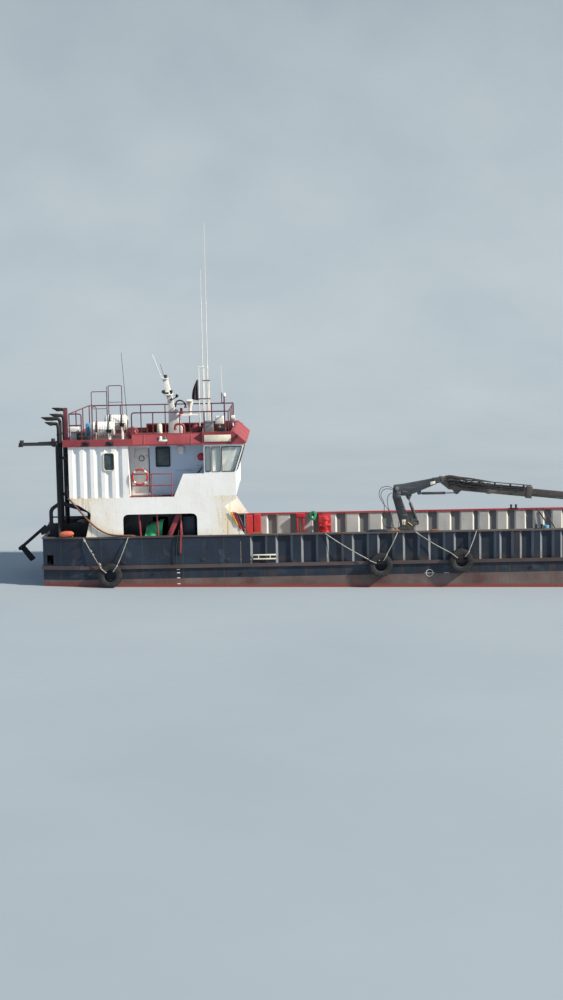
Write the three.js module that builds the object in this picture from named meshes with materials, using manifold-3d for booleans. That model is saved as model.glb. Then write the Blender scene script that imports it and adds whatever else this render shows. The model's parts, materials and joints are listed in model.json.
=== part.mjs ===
// River landing barge: a shallow self-propelled cargo barge with its house at the stern, an open
// cargo deck between corrugated bulwarks, a deck crane at the starboard side and a bow ramp.
// Units are millimetres. +X is forward, +Y is to port, +Z is up. The origin lies on the flat
// bottom, amidships on the centre line.

import * as THREE from 'three';
import { mergeVertices } from 'three/addons/utils/BufferGeometryUtils.js';
import Module from 'manifold-3d';

const wasm = await Module();
wasm.setup();

// Driving dimensions of the hull
const HALF_LENGTH = 17300;
const HALF_BEAM = 4200;
const DECK_Z = 2100;
const RAIL_Z = 3430;
const PLATE = 14;
const SEAT_GAP = 0.3;
const STARBOARD = -1;
const PORT = 1;
const SIDES = [STARBOARD, PORT];
const SIDE_NAMES = { [STARBOARD]: 'starboard', [PORT]: 'port' };

// Hull outline seen from above, and where the bottom rises to the bow and the stern
const STERN_QUARTER_X = -15600;
const TRANSOM_HALF_WIDTH = 3900;
const BOW_TAPER_X = 13200;
const BOW_HALF_WIDTH = 3400;
const BOTTOM_AFT_X = -11500;
const BOTTOM_FORE_X = 9500;
const STERN_RISE_X = -16000;
const STERN_RISE_Z = 1050;
const BOW_RISE_X = 16700;
const BOW_RISE_Z = 1330;
const BILGE_RADIUS = 420;

// Twin screws in shallow tunnels, and the rudders behind them
const SCREW_Y = 1900;
const SCREW_Z = 430;
const SCREW_X = -14150;
const SCREW_RADIUS = 380;
const TUNNEL_RADIUS = 470;
const SHAFT_RADIUS = 50;
const RUDDER_X = -15300;

// House levels and stations
const BOAT_DECK_Z = 5180;
const BOAT_DECK_THICKNESS = 90;
const HOUSE_TOP_Z = 7490;
const HOUSE_AFT_X = -15990;
const HOUSE_STEP_X = -13320;
const WHEELHOUSE_AFT_X = -9950;
const RECESS_Y = 3200;
const WALL = 60;
const SILL_Z = 6220;
const FRONT_SILL_X = -8540;
const FRONT_TOP_X = -8130;

// Roof
const ROOF_AFT_X = -16220;
const ROOF_DECK_Z = 7560;
const COAMING_Z = 7800;
const SLOPE_AFT_X = -13150;
const SLOPE_TOP_Z = 8010;
const VISOR_AFT_X = -10000;
const VISOR_TIP_X = -8030;
const VISOR_Z = 8060;
const ROOF_Y = 4260;
const SLOPE_Y = 3930;

// Deck crane: slewing axis, boom pivots and lengths in the plane of the boom
const CRANE_X = -900;
const CRANE_Y = -3560;
const CRANE_BASE_TOP_Z = 2950;
const BOOM_PIVOT = [-1330, 5330];
const KNUCKLE_PIVOT = [700, 5690];
const OUTER_ANGLE = -6.5;
const OUTER_LENGTH = 4100;
const EXTENSION_REACH = 3100;
const EXTENSION_ROOT = 3400;
const LIFT_BASE = [-420, 3760];
const LIFT_EYE = [-800, 4850];
const KNUCKLE_BASE = [-330, 5060];
const LEVER_EYE = [720, -560];
const CYLINDER_PIN = 35;

// Bow ramp, hinged at the fore end of the deck
const RAMP_HINGE_X = 16960;
const RAMP_HINGE_Z = 2000;
const RAMP_LENGTH = 4100;
const RAMP_HALF_WIDTH = 2780;
const RAMP_ANGLE = 68;
const RAMP_PIN_RADIUS = 40;
const RAMP_CYLINDER_Y = 3030;
const RAMP_CYLINDER_BASE = [15000, 3120];
const RAMP_EYE_REACH = 1250;

const radians = THREE.MathUtils.degToRad;

// Closed three.js geometry to a solid, and back
function solid(geometry) {
  const bare = geometry.clone();
  bare.deleteAttribute('normal');
  bare.deleteAttribute('uv');
  const merged = mergeVertices(bare, 1e-3);
  return new wasm.Manifold(new wasm.Mesh({
    numProp: 3,
    vertProperties: new Float32Array(merged.attributes.position.array),
    triVerts: new Uint32Array(merged.index.array),
  }));
}

function geometryOf(body) {
  const mesh = body.getMesh();
  const geometry = new THREE.BufferGeometry();
  geometry.setAttribute('position', new THREE.BufferAttribute(new Float32Array(mesh.vertProperties), 3));
  geometry.setIndex(new THREE.BufferAttribute(new Uint32Array(mesh.triVerts), 1));
  return geometry;
}

const join = (...bodies) => bodies.flat().reduce((whole, next) => whole.add(next));
const cut = (body, ...tools) => tools.flat().reduce((left, tool) => left.subtract(tool), body);

// Block between two corners, given as low and high of each axis in any order
function block(x0, x1, y0, y1, z0, z1) {
  const geometry = new THREE.BoxGeometry(Math.abs(x1 - x0), Math.abs(y1 - y0), Math.abs(z1 - z0));
  geometry.translate((x0 + x1) / 2, (y0 + y1) / 2, (z0 + z1) / 2);
  return solid(geometry);
}

// Closed outline, its corners rounded where a point has a third value, its radius
function outline(points) {
  const shape = new THREE.Shape();
  const count = points.length;
  points.forEach(([x, y, radius = 0], index) => {
    const corner = new THREE.Vector2(x, y);
    const previous = points[(index + count - 1) % count];
    const before = new THREE.Vector2(...previous.slice(0, 2)).sub(corner).setLength(radius);
    const after = new THREE.Vector2(...points[(index + 1) % count].slice(0, 2)).sub(corner).setLength(radius);
    const start = corner.clone().add(before);
    if (index === 0) shape.moveTo(start.x, start.y);
    else shape.lineTo(start.x, start.y);
    if (radius > 0) shape.quadraticCurveTo(x, y, x + after.x, y + after.y);
  });
  return shape;
}

function extruded(points, depth, segments = 4) {
  return new THREE.ExtrudeGeometry(outline(points), { depth, bevelEnabled: false, curveSegments: segments });
}

// Plates cut to an outline in one plane: side view (X, Z), cross section (Y, Z) and plan (X, Y)
function sidePlate(points, y0, y1, segments) {
  const geometry = extruded(points, Math.abs(y1 - y0), segments);
  geometry.rotateX(Math.PI / 2);
  geometry.translate(0, Math.max(y0, y1), 0);
  return solid(geometry);
}

function crossPlate(points, x0, x1, segments) {
  const geometry = extruded(points, Math.abs(x1 - x0), segments);
  geometry.applyMatrix4(new THREE.Matrix4().makeBasis(
    new THREE.Vector3(0, 1, 0), new THREE.Vector3(0, 0, 1), new THREE.Vector3(1, 0, 0)));
  geometry.translate(Math.min(x0, x1), 0, 0);
  return solid(geometry);
}

function planPlate(points, z0, z1, segments) {
  const geometry = extruded(points, Math.abs(z1 - z0), segments);
  geometry.translate(0, 0, Math.min(z0, z1));
  return solid(geometry);
}

// Round bar, cone or box beam from one point to another
function bar(from, to, radius, sides = 8, endRadius = radius, turn = 0) {
  const start = new THREE.Vector3(...from);
  const span = new THREE.Vector3(...to).sub(start);
  const geometry = new THREE.CylinderGeometry(endRadius, radius, span.length(), sides, 1, false, turn);
  geometry.translate(0, span.length() / 2, 0);
  geometry.applyQuaternion(new THREE.Quaternion().setFromUnitVectors(
    new THREE.Vector3(0, 1, 0), span.clone().normalize()));
  geometry.translate(...from);
  return solid(geometry);
}

// Hole that a round pin turns in, its flats facing the pin's corners
function bore(from, to, pin, sides) {
  const radius = (pin + SEAT_GAP) / Math.cos(Math.PI / sides);
  return bar(from, to, radius, sides, radius, Math.PI / sides);
}

function beam(from, to, width, height) {
  const start = new THREE.Vector3(...from);
  const along = new THREE.Vector3(...to).sub(start);
  const length = along.length();
  along.normalize();
  const across = new THREE.Vector3(0, 0, 1).cross(along).normalize();
  const up = along.clone().cross(across);
  const geometry = new THREE.BoxGeometry(length, width, height);
  geometry.translate(length / 2, 0, 0);
  geometry.applyMatrix4(new THREE.Matrix4().makeBasis(along, across, up));
  geometry.translate(...from);
  return solid(geometry);
}

// Bars laid end to end, each run on past its bends by enough to close the corner
function pipe(points, radius, sides = 8) {
  const ends = points.map((point) => new THREE.Vector3(...point));
  const directions = ends.slice(1).map((end, index) => end.clone().sub(ends[index]).normalize());
  const overlap = (index) => {
    if (index <= 0 || index >= directions.length) return 0;
    return radius * Math.tan(directions[index - 1].angleTo(directions[index]) / 2);
  };
  return join(directions.map((direction, index) => {
    const start = ends[index].clone().addScaledVector(direction, -overlap(index));
    const end = ends[index + 1].clone().addScaledVector(direction, overlap(index + 1));
    return bar(start.toArray(), end.toArray(), radius, sides);
  }));
}

// Round tube along a curve
function tube(curve, radius, steps, sides = 8) {
  const ring = new THREE.Shape();
  for (let index = 0; index < sides; index += 1) {
    const angle = 2 * Math.PI * index / sides;
    const place = [radius * Math.cos(angle), radius * Math.sin(angle)];
    if (index === 0) ring.moveTo(...place);
    else ring.lineTo(...place);
  }
  return solid(new THREE.ExtrudeGeometry(ring, { extrudePath: curve, steps, bevelEnabled: false }));
}

const RAIL_SIDES = 4;
const RAIL_RADIUS = 23;

// Rail of posts along a path with bars at the given heights above it
function railing(path, heights, radius) {
  const lift = ([x, y, z], height) => [x, y, z + height];
  const top = Math.max(...heights);
  const corners = path.filter((point, index) => {
    if (index === 0 || index === path.length - 1) return true;
    const before = new THREE.Vector3(...point).sub(new THREE.Vector3(...path[index - 1]));
    const after = new THREE.Vector3(...path[index + 1]).sub(new THREE.Vector3(...point));
    return before.angleTo(after) > 0.01;
  });
  const posts = path.map((point) => bar(point, lift(point, top), radius, RAIL_SIDES));
  const bars = heights.map((height) => pipe(corners.map((point) => lift(point, height)), radius, RAIL_SIDES));
  return join(posts, bars);
}

// Points evenly spaced between two ends, both included
function spaced(from, to, count) {
  return Array.from({ length: count }, (_, index) => from.map((value, axis) =>
    value + (to[axis] - value) * index / (count - 1)));
}

// Hull outline in plan, moved outward by the given distance
function hullPlan(offset) {
  const corners = [
    [-HALF_LENGTH, -TRANSOM_HALF_WIDTH], [STERN_QUARTER_X, -HALF_BEAM], [BOW_TAPER_X, -HALF_BEAM],
    [HALF_LENGTH, -BOW_HALF_WIDTH], [HALF_LENGTH, BOW_HALF_WIDTH], [BOW_TAPER_X, HALF_BEAM],
    [STERN_QUARTER_X, HALF_BEAM], [-HALF_LENGTH, TRANSOM_HALF_WIDTH],
  ];
  return corners.map((corner, index) => {
    const previous = corners[(index + corners.length - 1) % corners.length];
    const next = corners[(index + 1) % corners.length];
    const normalOf = (a, b) => {
      const length = Math.hypot(b[0] - a[0], b[1] - a[1]);
      return [(b[1] - a[1]) / length, -(b[0] - a[0]) / length];
    };
    const before = normalOf(previous, corner);
    const after = normalOf(corner, next);
    const scale = offset / (1 + before[0] * after[0] + before[1] * after[1]);
    return [corner[0] + (before[0] + after[0]) * scale, corner[1] + (before[1] + after[1]) * scale];
  });
}

// Belt that follows the hull outline between two offsets
function belt(outer, inner, z0, z1) {
  return cut(planPlate(hullPlan(outer), z0, z1), planPlate(hullPlan(inner), z0 - 10, z1 + 10));
}

function makeHull() {
  const profile = [
    [-HALF_LENGTH, DECK_Z], [-HALF_LENGTH, STERN_RISE_Z + 90], [STERN_RISE_X, STERN_RISE_Z],
    [BOTTOM_AFT_X, 0], [BOTTOM_FORE_X, 0], [BOW_RISE_X, BOW_RISE_Z], [HALF_LENGTH - 200, DECK_Z],
  ];
  const section = [
    [-HALF_BEAM, DECK_Z], [-HALF_BEAM, 0, BILGE_RADIUS], [HALF_BEAM, 0, BILGE_RADIUS], [HALF_BEAM, DECK_Z],
  ];
  let hull = sidePlate(profile, -HALF_BEAM - 10, HALF_BEAM + 10)
    .intersect(crossPlate(section, -HALF_LENGTH - 10, HALF_LENGTH + 10, 3))
    .intersect(planPlate(hullPlan(0), -10, DECK_Z + 10));
  for (const side of SIDES) {
    const y = side * SCREW_Y;
    hull = cut(hull, bar([-HALF_LENGTH - 50, y, SCREW_Z], [-12600, y, SCREW_Z], TUNNEL_RADIUS, 20));
    const skeg = [[-11600, -5 + 20], [-13750, 140], [-13900, 330], [-13900, 700], [-11600, 400]];
    hull = join(hull,
      sidePlate(skeg, y - 60, y + 60),
      bar([-12400, y, SCREW_Z], [SCREW_X + 110, y, SCREW_Z], 115, 16),
      bar([RUDDER_X, y, 775], [RUDDER_X, y, 1100], 120, 16));
    hull = cut(hull, bore([SCREW_X + 400, y, SCREW_Z], [SCREW_X, y, SCREW_Z], SHAFT_RADIUS, 12));
  }
  return hull;
}

// Space at the bow where the ramp's hinge turns, with the lugs that carry its pin
const RAMP_LUGS_Y = [-2100, -700, 700, 2100];
const RAMP_LUG_HALF = 35;

function fitRampHinge(hull) {
  const recess = block(RAMP_HINGE_X - 150, HALF_LENGTH + 50,
    -RAMP_HALF_WIDTH - 30, RAMP_HALF_WIDTH + 30, 1840, DECK_Z + 50);
  const lugs = RAMP_LUGS_Y.map((y) => join(
    bar([RAMP_HINGE_X, y - RAMP_LUG_HALF, RAMP_HINGE_Z],
      [RAMP_HINGE_X, y + RAMP_LUG_HALF, RAMP_HINGE_Z], 80, 16),
    block(RAMP_HINGE_X - 160, RAMP_HINGE_X, y - RAMP_LUG_HALF, y + RAMP_LUG_HALF, 1830, RAMP_HINGE_Z + 60)));
  const hole = bore([RAMP_HINGE_X, -2400, RAMP_HINGE_Z], [RAMP_HINGE_X, 2400, RAMP_HINGE_Z],
    RAMP_PIN_RADIUS, 16);
  return cut(join(cut(hull, recess), lugs), hole);
}

function makeRampBrackets() {
  const [x, z] = RAMP_CYLINDER_BASE;
  const cheek = [[x - 420, DECK_Z - 5], [x + 260, DECK_Z - 5], [x + 90, z + 80, 60], [x - 110, z + 80, 60]];
  return SIDES.map((side) => {
    const y = side * RAMP_CYLINDER_Y;
    return cut(join(sidePlate(cheek, y - 85, y - 55), sidePlate(cheek, y + 55, y + 85),
      block(x - 420, x + 260, y - 85, y + 85, DECK_Z - 5, DECK_Z + 25)),
    bore([x, y - 200, z], [x, y + 200, z], CYLINDER_PIN, 12));
  });
}

function makeRubRail() {
  const rail = belt(75, SEAT_GAP, DECK_Z - 130, DECK_Z + 20);
  return cut(rail, block(HALF_LENGTH - 400, HALF_LENGTH + 200, -5000, 5000, 0, 4000));
}

// Corrugation of the cargo bulwark: station of the first slope, pitch and count of each run
const CORRUGATION_RUNS = [
  { first: -7910, pitch: 1140, count: 10 },
  { first: 3260, pitch: 910, count: 11 },
];
const WING_FORE_X = 17130;
const CORRUGATION_DEPTH = 115;
const CORRUGATION_SLOPE = 100;

function corrugationLine(endX) {
  const points = [[-8380, 0]];
  const half = CORRUGATION_SLOPE / 2;
  for (const { first, pitch, count } of CORRUGATION_RUNS) {
    for (let index = 0; index < count; index += 1) {
      const inward = first + pitch * index;
      const outward = inward + pitch * 0.58;
      points.push([inward - half, 0], [inward + half, CORRUGATION_DEPTH],
        [outward - half, CORRUGATION_DEPTH], [outward + half, 0]);
    }
  }
  points.push([endX, 0]);
  return points;
}

function makeBulwark(side) {
  const line = corrugationLine(BOW_TAPER_X);
  const outer = line.map(([x, depth]) => [x, side * (HALF_BEAM - depth)]);
  const inner = line.map(([x, depth]) => [x, side * (HALF_BEAM - depth - PLATE)]).reverse();
  const foot = DECK_Z + SEAT_GAP;
  const sheet = planPlate([...outer, ...inner], foot, RAIL_Z - 30);
  const outerY = side * (HALF_BEAM + 30);
  const innerY = side * (HALF_BEAM - 170);
  const cap = block(-8380, BOW_TAPER_X, outerY, innerY, RAIL_Z - 70, RAIL_Z);
  const wingProfile = [
    [BOW_TAPER_X - 60, foot], [RAMP_HINGE_X + 60, foot], [WING_FORE_X, 4350, 120],
    [RAMP_HINGE_X - 900, 4350, 200], [BOW_TAPER_X + 900, RAIL_Z], [BOW_TAPER_X - 60, RAIL_Z],
  ];
  const half = block(-HALF_LENGTH - 500, HALF_LENGTH + 500, 0, side * 6000, 0, 6000);
  const wing = belt(0, -PLATE, foot, 5000).intersect(sidePlate(wingProfile, -5000, 5000)).intersect(half);
  const wingCap = [
    [BOW_TAPER_X - 60, RAIL_Z - 70], [BOW_TAPER_X + 930, RAIL_Z - 70], [RAMP_HINGE_X - 870, 4280],
    [WING_FORE_X - 10, 4280], [WING_FORE_X - 10, 4350], [RAMP_HINGE_X - 900, 4350],
    [BOW_TAPER_X + 900, RAIL_Z], [BOW_TAPER_X - 60, RAIL_Z],
  ];
  const capBelt = belt(30, -150, foot, 5000).intersect(sidePlate(wingCap, -5000, 5000)).intersect(half);
  return join(sheet, cap, wing, capBelt);
}

function makeSternBulwark() {
  const foreCut = block(-8400, HALF_LENGTH + 500, -6000, 6000, 0, 6000);
  const plate = belt(0, -PLATE, DECK_Z + SEAT_GAP, RAIL_Z - 30);
  const cap = belt(35, -140, RAIL_Z - 70, RAIL_Z);
  const ports = SIDES.map((side) => block(-17120, -16830, side * 3000, side * 5000, 2180, 2620));
  return cut(join(plate, cap), foreCut, ports);
}

// White plating above the bulwark, with the long round-cornered opening of the side gallery
function makeSidePlating(side) {
  const foot = RAIL_Z + SEAT_GAP;
  const edge = [
    [-15300, foot], [-8200, foot], [-9060, 4720], [FRONT_SILL_X, 5040],
    [FRONT_SILL_X, SILL_Z - 20], [-10890, SILL_Z - 20], [-11320, BOAT_DECK_Z], [-16060, BOAT_DECK_Z],
    [-15040, 4500, 150],
  ];
  const opening = [[-13630, foot - 50], [-10310, foot - 50], [-10310, 4420, 260], [-13630, 4420, 260]];
  const y0 = side * HALF_BEAM;
  const y1 = side * (HALF_BEAM - WALL);
  return cut(sidePlate(edge, y0, y1), sidePlate(opening, side * 5000, side * 3000));
}

// Lower house inside the side galleries, with a bulkhead across the hull at its fore end
const LOWER_HOUSE_Y = 2900;
const LOWER_HOUSE_AFT_X = -14700;
const LOWER_HOUSE_FRONT_X = -9080;

function makeLowerHouse() {
  const foot = DECK_Z + SEAT_GAP;
  const top = BOAT_DECK_Z - BOAT_DECK_THICKNESS - SEAT_GAP;
  const inside = HALF_BEAM - WALL - SEAT_GAP;
  const front = block(LOWER_HOUSE_FRONT_X, LOWER_HOUSE_FRONT_X - WALL, -inside, inside, foot, top);
  const shell = block(LOWER_HOUSE_AFT_X, LOWER_HOUSE_FRONT_X, -LOWER_HOUSE_Y, LOWER_HOUSE_Y, foot, top);
  const hollow = block(LOWER_HOUSE_AFT_X + WALL, LOWER_HOUSE_FRONT_X - WALL,
    -LOWER_HOUSE_Y + WALL, LOWER_HOUSE_Y - WALL, 0, 6000);
  const doorHoles = SIDES.flatMap((side) => [
    block(LOWER_HOUSE_FRONT_X - 200, LOWER_HOUSE_FRONT_X + 200, side * 3130, side * 3880, foot + 150, 4150),
    block(-12400, -11700, side * 2000, side * 3000, foot + 150, 4150),
  ]);
  const frontWindows = [-2100, -700, 700, 2100].map((y) =>
    block(LOWER_HOUSE_FRONT_X - 200, LOWER_HOUSE_FRONT_X + 200, y - 330, y + 330, 3550, 4250));
  const aftDoor = block(LOWER_HOUSE_AFT_X - 100, LOWER_HOUSE_AFT_X + 100, -400, 400, foot + 150, 4150);
  const foreRail = SIDES.map((side) =>
    block(LOWER_HOUSE_FRONT_X - 200, LOWER_HOUSE_FRONT_X + 200, side * 4050, side * 4300, 0, RAIL_Z + 1));
  return cut(join(front, cut(shell, hollow)), doorHoles, frontWindows, aftDoor, foreRail);
}

// Boat deck, with the hatch that the stair in the starboard gallery comes up through
const STAIR_HATCH = { x0: -11900, x1: -10450, y0: -4020, y1: -3280 };

function makeBoatDeck() {
  const inside = HALF_BEAM - WALL - SEAT_GAP;
  const z0 = BOAT_DECK_Z - BOAT_DECK_THICKNESS;
  const { x0, x1, y0, y1 } = STAIR_HATCH;
  return cut(block(-16040, FRONT_SILL_X - WALL, -inside, inside, z0, BOAT_DECK_Z),
    block(x0, x1, y0, y1, z0 - 10, BOAT_DECK_Z + 10));
}

// Upper house: corrugated aft block, recessed middle with a door each side
const HOUSE_CORRUGATION = { first: -15800, pitch: 476, count: 5, depth: 60, slope: 95 };
const DOOR = { x0: -13130, x1: -12480, z0: 5280, z1: 7330 };

function wallLine() {
  const { first, pitch, count, depth, slope } = HOUSE_CORRUGATION;
  const points = [[HOUSE_AFT_X, 0]];
  for (let index = 0; index < count; index += 1) {
    const x = first + pitch * index;
    points.push([x, 0], [x + slope, depth], [x + pitch * 0.45, depth], [x + pitch * 0.45 + slope, 0]);
  }
  points.push([HOUSE_STEP_X, 0]);
  return points;
}

function makeUpperHouse() {
  const foot = BOAT_DECK_Z;
  const top = HOUSE_TOP_Z - SEAT_GAP;
  const line = wallLine();
  const walls = SIDES.flatMap((side) => {
    const outer = line.map(([x, depth]) => [x, side * (HALF_BEAM - depth)]);
    const inner = line.map(([x]) => [x, side * (HALF_BEAM - 100)]).reverse();
    return [
      planPlate([...outer, ...inner], foot + SEAT_GAP, top),
      block(HOUSE_STEP_X, HOUSE_STEP_X - WALL, side * HALF_BEAM, side * (RECESS_Y - WALL), foot, top),
      block(HOUSE_STEP_X - WALL, WHEELHOUSE_AFT_X - SEAT_GAP,
        side * RECESS_Y, side * (RECESS_Y - WALL), foot, top),
    ];
  });
  const aft = block(HOUSE_AFT_X, HOUSE_AFT_X + WALL, -HALF_BEAM, HALF_BEAM, foot + SEAT_GAP, top);
  const roundedWindow = [[-14400, 6420, 90], [-13960, 6420, 90], [-13960, 7180, 90], [-14400, 7180, 90]];
  const holes = SIDES.flatMap((side) => [
    sidePlate(roundedWindow, side * 4000, side * 4300),
    block(-12120, -11560, side * 3000, side * 3400, 6500, 7320),
    block(DOOR.x0, DOOR.x1, side * 3000, side * 3400, DOOR.z0, DOOR.z1),
  ]);
  const aftWindows = [-2200, 2200].map((y) =>
    block(HOUSE_AFT_X - 100, HOUSE_AFT_X + 200, y - 280, y + 280, 6400, 7050));
  return cut(join(walls, aft), holes, aftWindows);
}

// Door leaf with a round window, hung in the recessed wall
const DOOR_HINGE_RADIUS = 13;

function makeDoor(side) {
  const leaf = block(DOOR.x0 + 6, DOOR.x1 - 10,
    side * (RECESS_Y + 2), side * (RECESS_Y - 38), DOOR.z0 + 6, DOOR.z1 - 6);
  const middle = (DOOR.x0 + DOOR.x1) / 2;
  const window = { z: 6850, radius: 170 };
  const throughLeaf = (offset) => [middle, side * (RECESS_Y + offset), window.z];
  const windowHole = bar(throughLeaf(-100), throughLeaf(100), window.radius, 16);
  const pinY = side * (RECESS_Y + DOOR_HINGE_RADIUS + SEAT_GAP);
  const hinges = [5700, 6900].map((z) => join(
    bar([DOOR.x0, pinY, z - 60], [DOOR.x0, pinY, z + 60], DOOR_HINGE_RADIUS, 8),
    block(DOOR.x0 + 6, DOOR.x0 + 90, side * (RECESS_Y + 1), side * (RECESS_Y + 9), z - 50, z + 50)));
  return join(cut(leaf, windowHole), hinges);
}

// Wheelhouse: leaning front, window band round three sides, aft returns to the recessed walls
const WINDOW_TOP_Z = 7380;
const WINDOW_SILL_Z = SILL_Z + 60;
const SIDE_WINDOWS = [[-9880, -9660], [-9590, -9220]];
const CORNER_WINDOW_X = -9150;
const CORNER_POST = 75;

// How far forward the front stands at a height
function frontX(z) {
  const lean = (FRONT_TOP_X - FRONT_SILL_X) / (HOUSE_TOP_Z - SILL_Z);
  return FRONT_SILL_X + lean * Math.max(0, z - SILL_Z);
}

function makeWheelhouse() {
  const top = HOUSE_TOP_Z - SEAT_GAP;
  const profile = (inset, z0, z1) => [
    [WHEELHOUSE_AFT_X, z0], [frontX(SILL_Z) - inset, z0], [frontX(SILL_Z) - inset, SILL_Z],
    [frontX(z1) - inset, z1], [WHEELHOUSE_AFT_X, z1],
  ];
  const foot = BOAT_DECK_Z + SEAT_GAP;
  let shell = sidePlate(profile(0, foot, top), -HALF_BEAM, HALF_BEAM);
  const hollow = sidePlate(profile(WALL, 0, 9000).map(([x, z]) => [x === WHEELHOUSE_AFT_X ? x - 500 : x, z]),
    -HALF_BEAM + WALL, HALF_BEAM - WALL);
  shell = cut(shell, hollow);
  const returns = SIDES.map((side) =>
    block(WHEELHOUSE_AFT_X, WHEELHOUSE_AFT_X + WALL, side * HALF_BEAM, side * (RECESS_Y - WALL), foot, top));
  shell = join(shell, returns);
  const platingTop = SILL_Z - 20 + SEAT_GAP;
  const platingRoom = SIDES.map((side) =>
    block(-20000, FRONT_SILL_X + 1, side * (HALF_BEAM - WALL - SEAT_GAP), side * 5000, 0, platingTop));
  const cornerWindow = [
    [CORNER_WINDOW_X, WINDOW_SILL_Z], [frontX(WINDOW_SILL_Z) - CORNER_POST, WINDOW_SILL_Z],
    [frontX(WINDOW_TOP_Z) - CORNER_POST, WINDOW_TOP_Z], [CORNER_WINDOW_X, WINDOW_TOP_Z],
  ];
  const sideHoles = SIDES.flatMap((side) => [
    ...SIDE_WINDOWS.map(([x0, x1]) => block(x0, x1, side * 4000, side * 4400, WINDOW_SILL_Z, WINDOW_TOP_Z)),
    sidePlate(cornerWindow, side * 4000, side * 4400),
  ]);
  const frontHoles = spaced([-3320], [3320], 5).map(([y]) =>
    block(-8900, -7800, y - 700, y + 700, WINDOW_SILL_Z, WINDOW_TOP_Z));
  return cut(shell, platingRoom, sideHoles, frontHoles);
}

// One bent sheet of glass inside the window band
function makeWheelhouseGlass() {
  const sheet = (inset, z0, z1) => sidePlate([
    [-9885, z0], [frontX(z0) - inset, z0], [frontX(z1) - inset, z1], [-9885, z1],
  ], -HALF_BEAM + inset, HALF_BEAM - inset);
  const outer = WALL + SEAT_GAP;
  return cut(sheet(outer, SILL_Z + 40, WINDOW_TOP_Z + 20),
    cut(sheet(outer + 14, SILL_Z - 100, WINDOW_TOP_Z + 200)),
    block(-9980, -9800, -HALF_BEAM + outer + 14, HALF_BEAM - outer - 14, 6000, 7600));
}

// Roof: deck and upright coaming aft, plates that slope inwards over the walkways, visor in front
function makeRoof() {
  const shell = 60;
  const foreX = VISOR_AFT_X + 50;
  const inside = ROOF_Y - shell;
  const slab = block(ROOF_AFT_X, foreX, -ROOF_Y, ROOF_Y, HOUSE_TOP_Z, ROOF_DECK_Z);
  const coaming = cut(
    block(ROOF_AFT_X, SLOPE_AFT_X + shell, -ROOF_Y, ROOF_Y, HOUSE_TOP_Z, COAMING_Z),
    block(ROOF_AFT_X + shell, foreX, -inside, inside, HOUSE_TOP_Z - 5, COAMING_Z + 5));
  const slopes = SIDES.flatMap((side) => {
    const outer = [
      [ROOF_Y, HOUSE_TOP_Z], [ROOF_Y, HOUSE_TOP_Z + 50], [SLOPE_Y + 70, SLOPE_TOP_Z - 50],
      [SLOPE_Y + 70, SLOPE_TOP_Z],
    ];
    const inner = [
      [SLOPE_Y, SLOPE_TOP_Z], [SLOPE_Y, SLOPE_TOP_Z - 80], [inside - 50, ROOF_DECK_Z],
      [inside - 100, HOUSE_TOP_Z],
    ];
    const end = [[ROOF_Y, HOUSE_TOP_Z], [ROOF_Y, VISOR_Z], [SLOPE_Y, VISOR_Z], [SLOPE_Y, HOUSE_TOP_Z]];
    const gusset = [...outer, [SLOPE_Y, SLOPE_TOP_Z], [SLOPE_Y, HOUSE_TOP_Z]];
    const across = (points) => points.map(([y, z]) => [side * y, z]);
    return [
      crossPlate(across([...outer, ...inner]), SLOPE_AFT_X, foreX),
      crossPlate(across(gusset), SLOPE_AFT_X, SLOPE_AFT_X + shell),
      crossPlate(across(end), VISOR_AFT_X, foreX),
    ];
  });
  const visorEdge = [
    [VISOR_AFT_X, HOUSE_TOP_Z], [VISOR_TIP_X - 120, HOUSE_TOP_Z], [VISOR_TIP_X, HOUSE_TOP_Z + 70],
    [-8600, VISOR_Z], [VISOR_AFT_X, VISOR_Z],
  ];
  const visorInside = [
    [foreX, ROOF_DECK_Z], [-8400, ROOF_DECK_Z], [-8740, VISOR_Z + 20], [foreX, VISOR_Z + 20],
  ];
  const visor = cut(sidePlate(visorEdge, -ROOF_Y, ROOF_Y), sidePlate(visorInside, -inside, inside),
    block(VISOR_AFT_X - 50, foreX + 1, -SLOPE_Y, SLOPE_Y, ROOF_DECK_Z, VISOR_Z + 50));
  return join(slab, coaming, slopes, visor);
}

// Rails on the roof, open at the starboard side abreast of the life rafts
const ROOF_RAIL = { y: 3880, aft: -15950, fore: -8820, top: 1390, middle: 870 };

function makeRoofRails() {
  const { y, aft, fore, top, middle } = ROOF_RAIL;
  const foot = ROOF_DECK_Z + SEAT_GAP;
  const starboard = spaced([SLOPE_AFT_X, -y, foot], [fore, -y, foot], 4);
  const front = spaced([fore, -y, foot], [fore, y, foot], 5).slice(1, -1);
  const port = spaced([fore, y, foot], [aft, y, foot], 6);
  const across = spaced([aft, y, foot], [aft, -y, foot], 5).slice(1);
  const end = [aft + 550, -y, foot];
  const corner = [[aft, y - 200, foot + middle], [aft, -y, foot + middle], [end[0], -y, foot + middle]];
  const path = [...starboard, ...front, ...port, ...across, end];
  return join(railing(path, [top], RAIL_RADIUS), pipe(corner, RAIL_RADIUS, RAIL_SIDES));
}

function makeSideRail(side) {
  const path = spaced([-13200, side * (HALF_BEAM - 30), BOAT_DECK_Z + SEAT_GAP],
    [-11400, side * (HALF_BEAM - 30), BOAT_DECK_Z + SEAT_GAP], 3);
  return railing(path, [520, 1040], RAIL_RADIUS);
}

// Mast: wide foot, narrow top that leans aft, cross arm for the lamps and shelf for the radar
const RADAR_AXIS = [-10750, 0, 8630];

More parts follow.
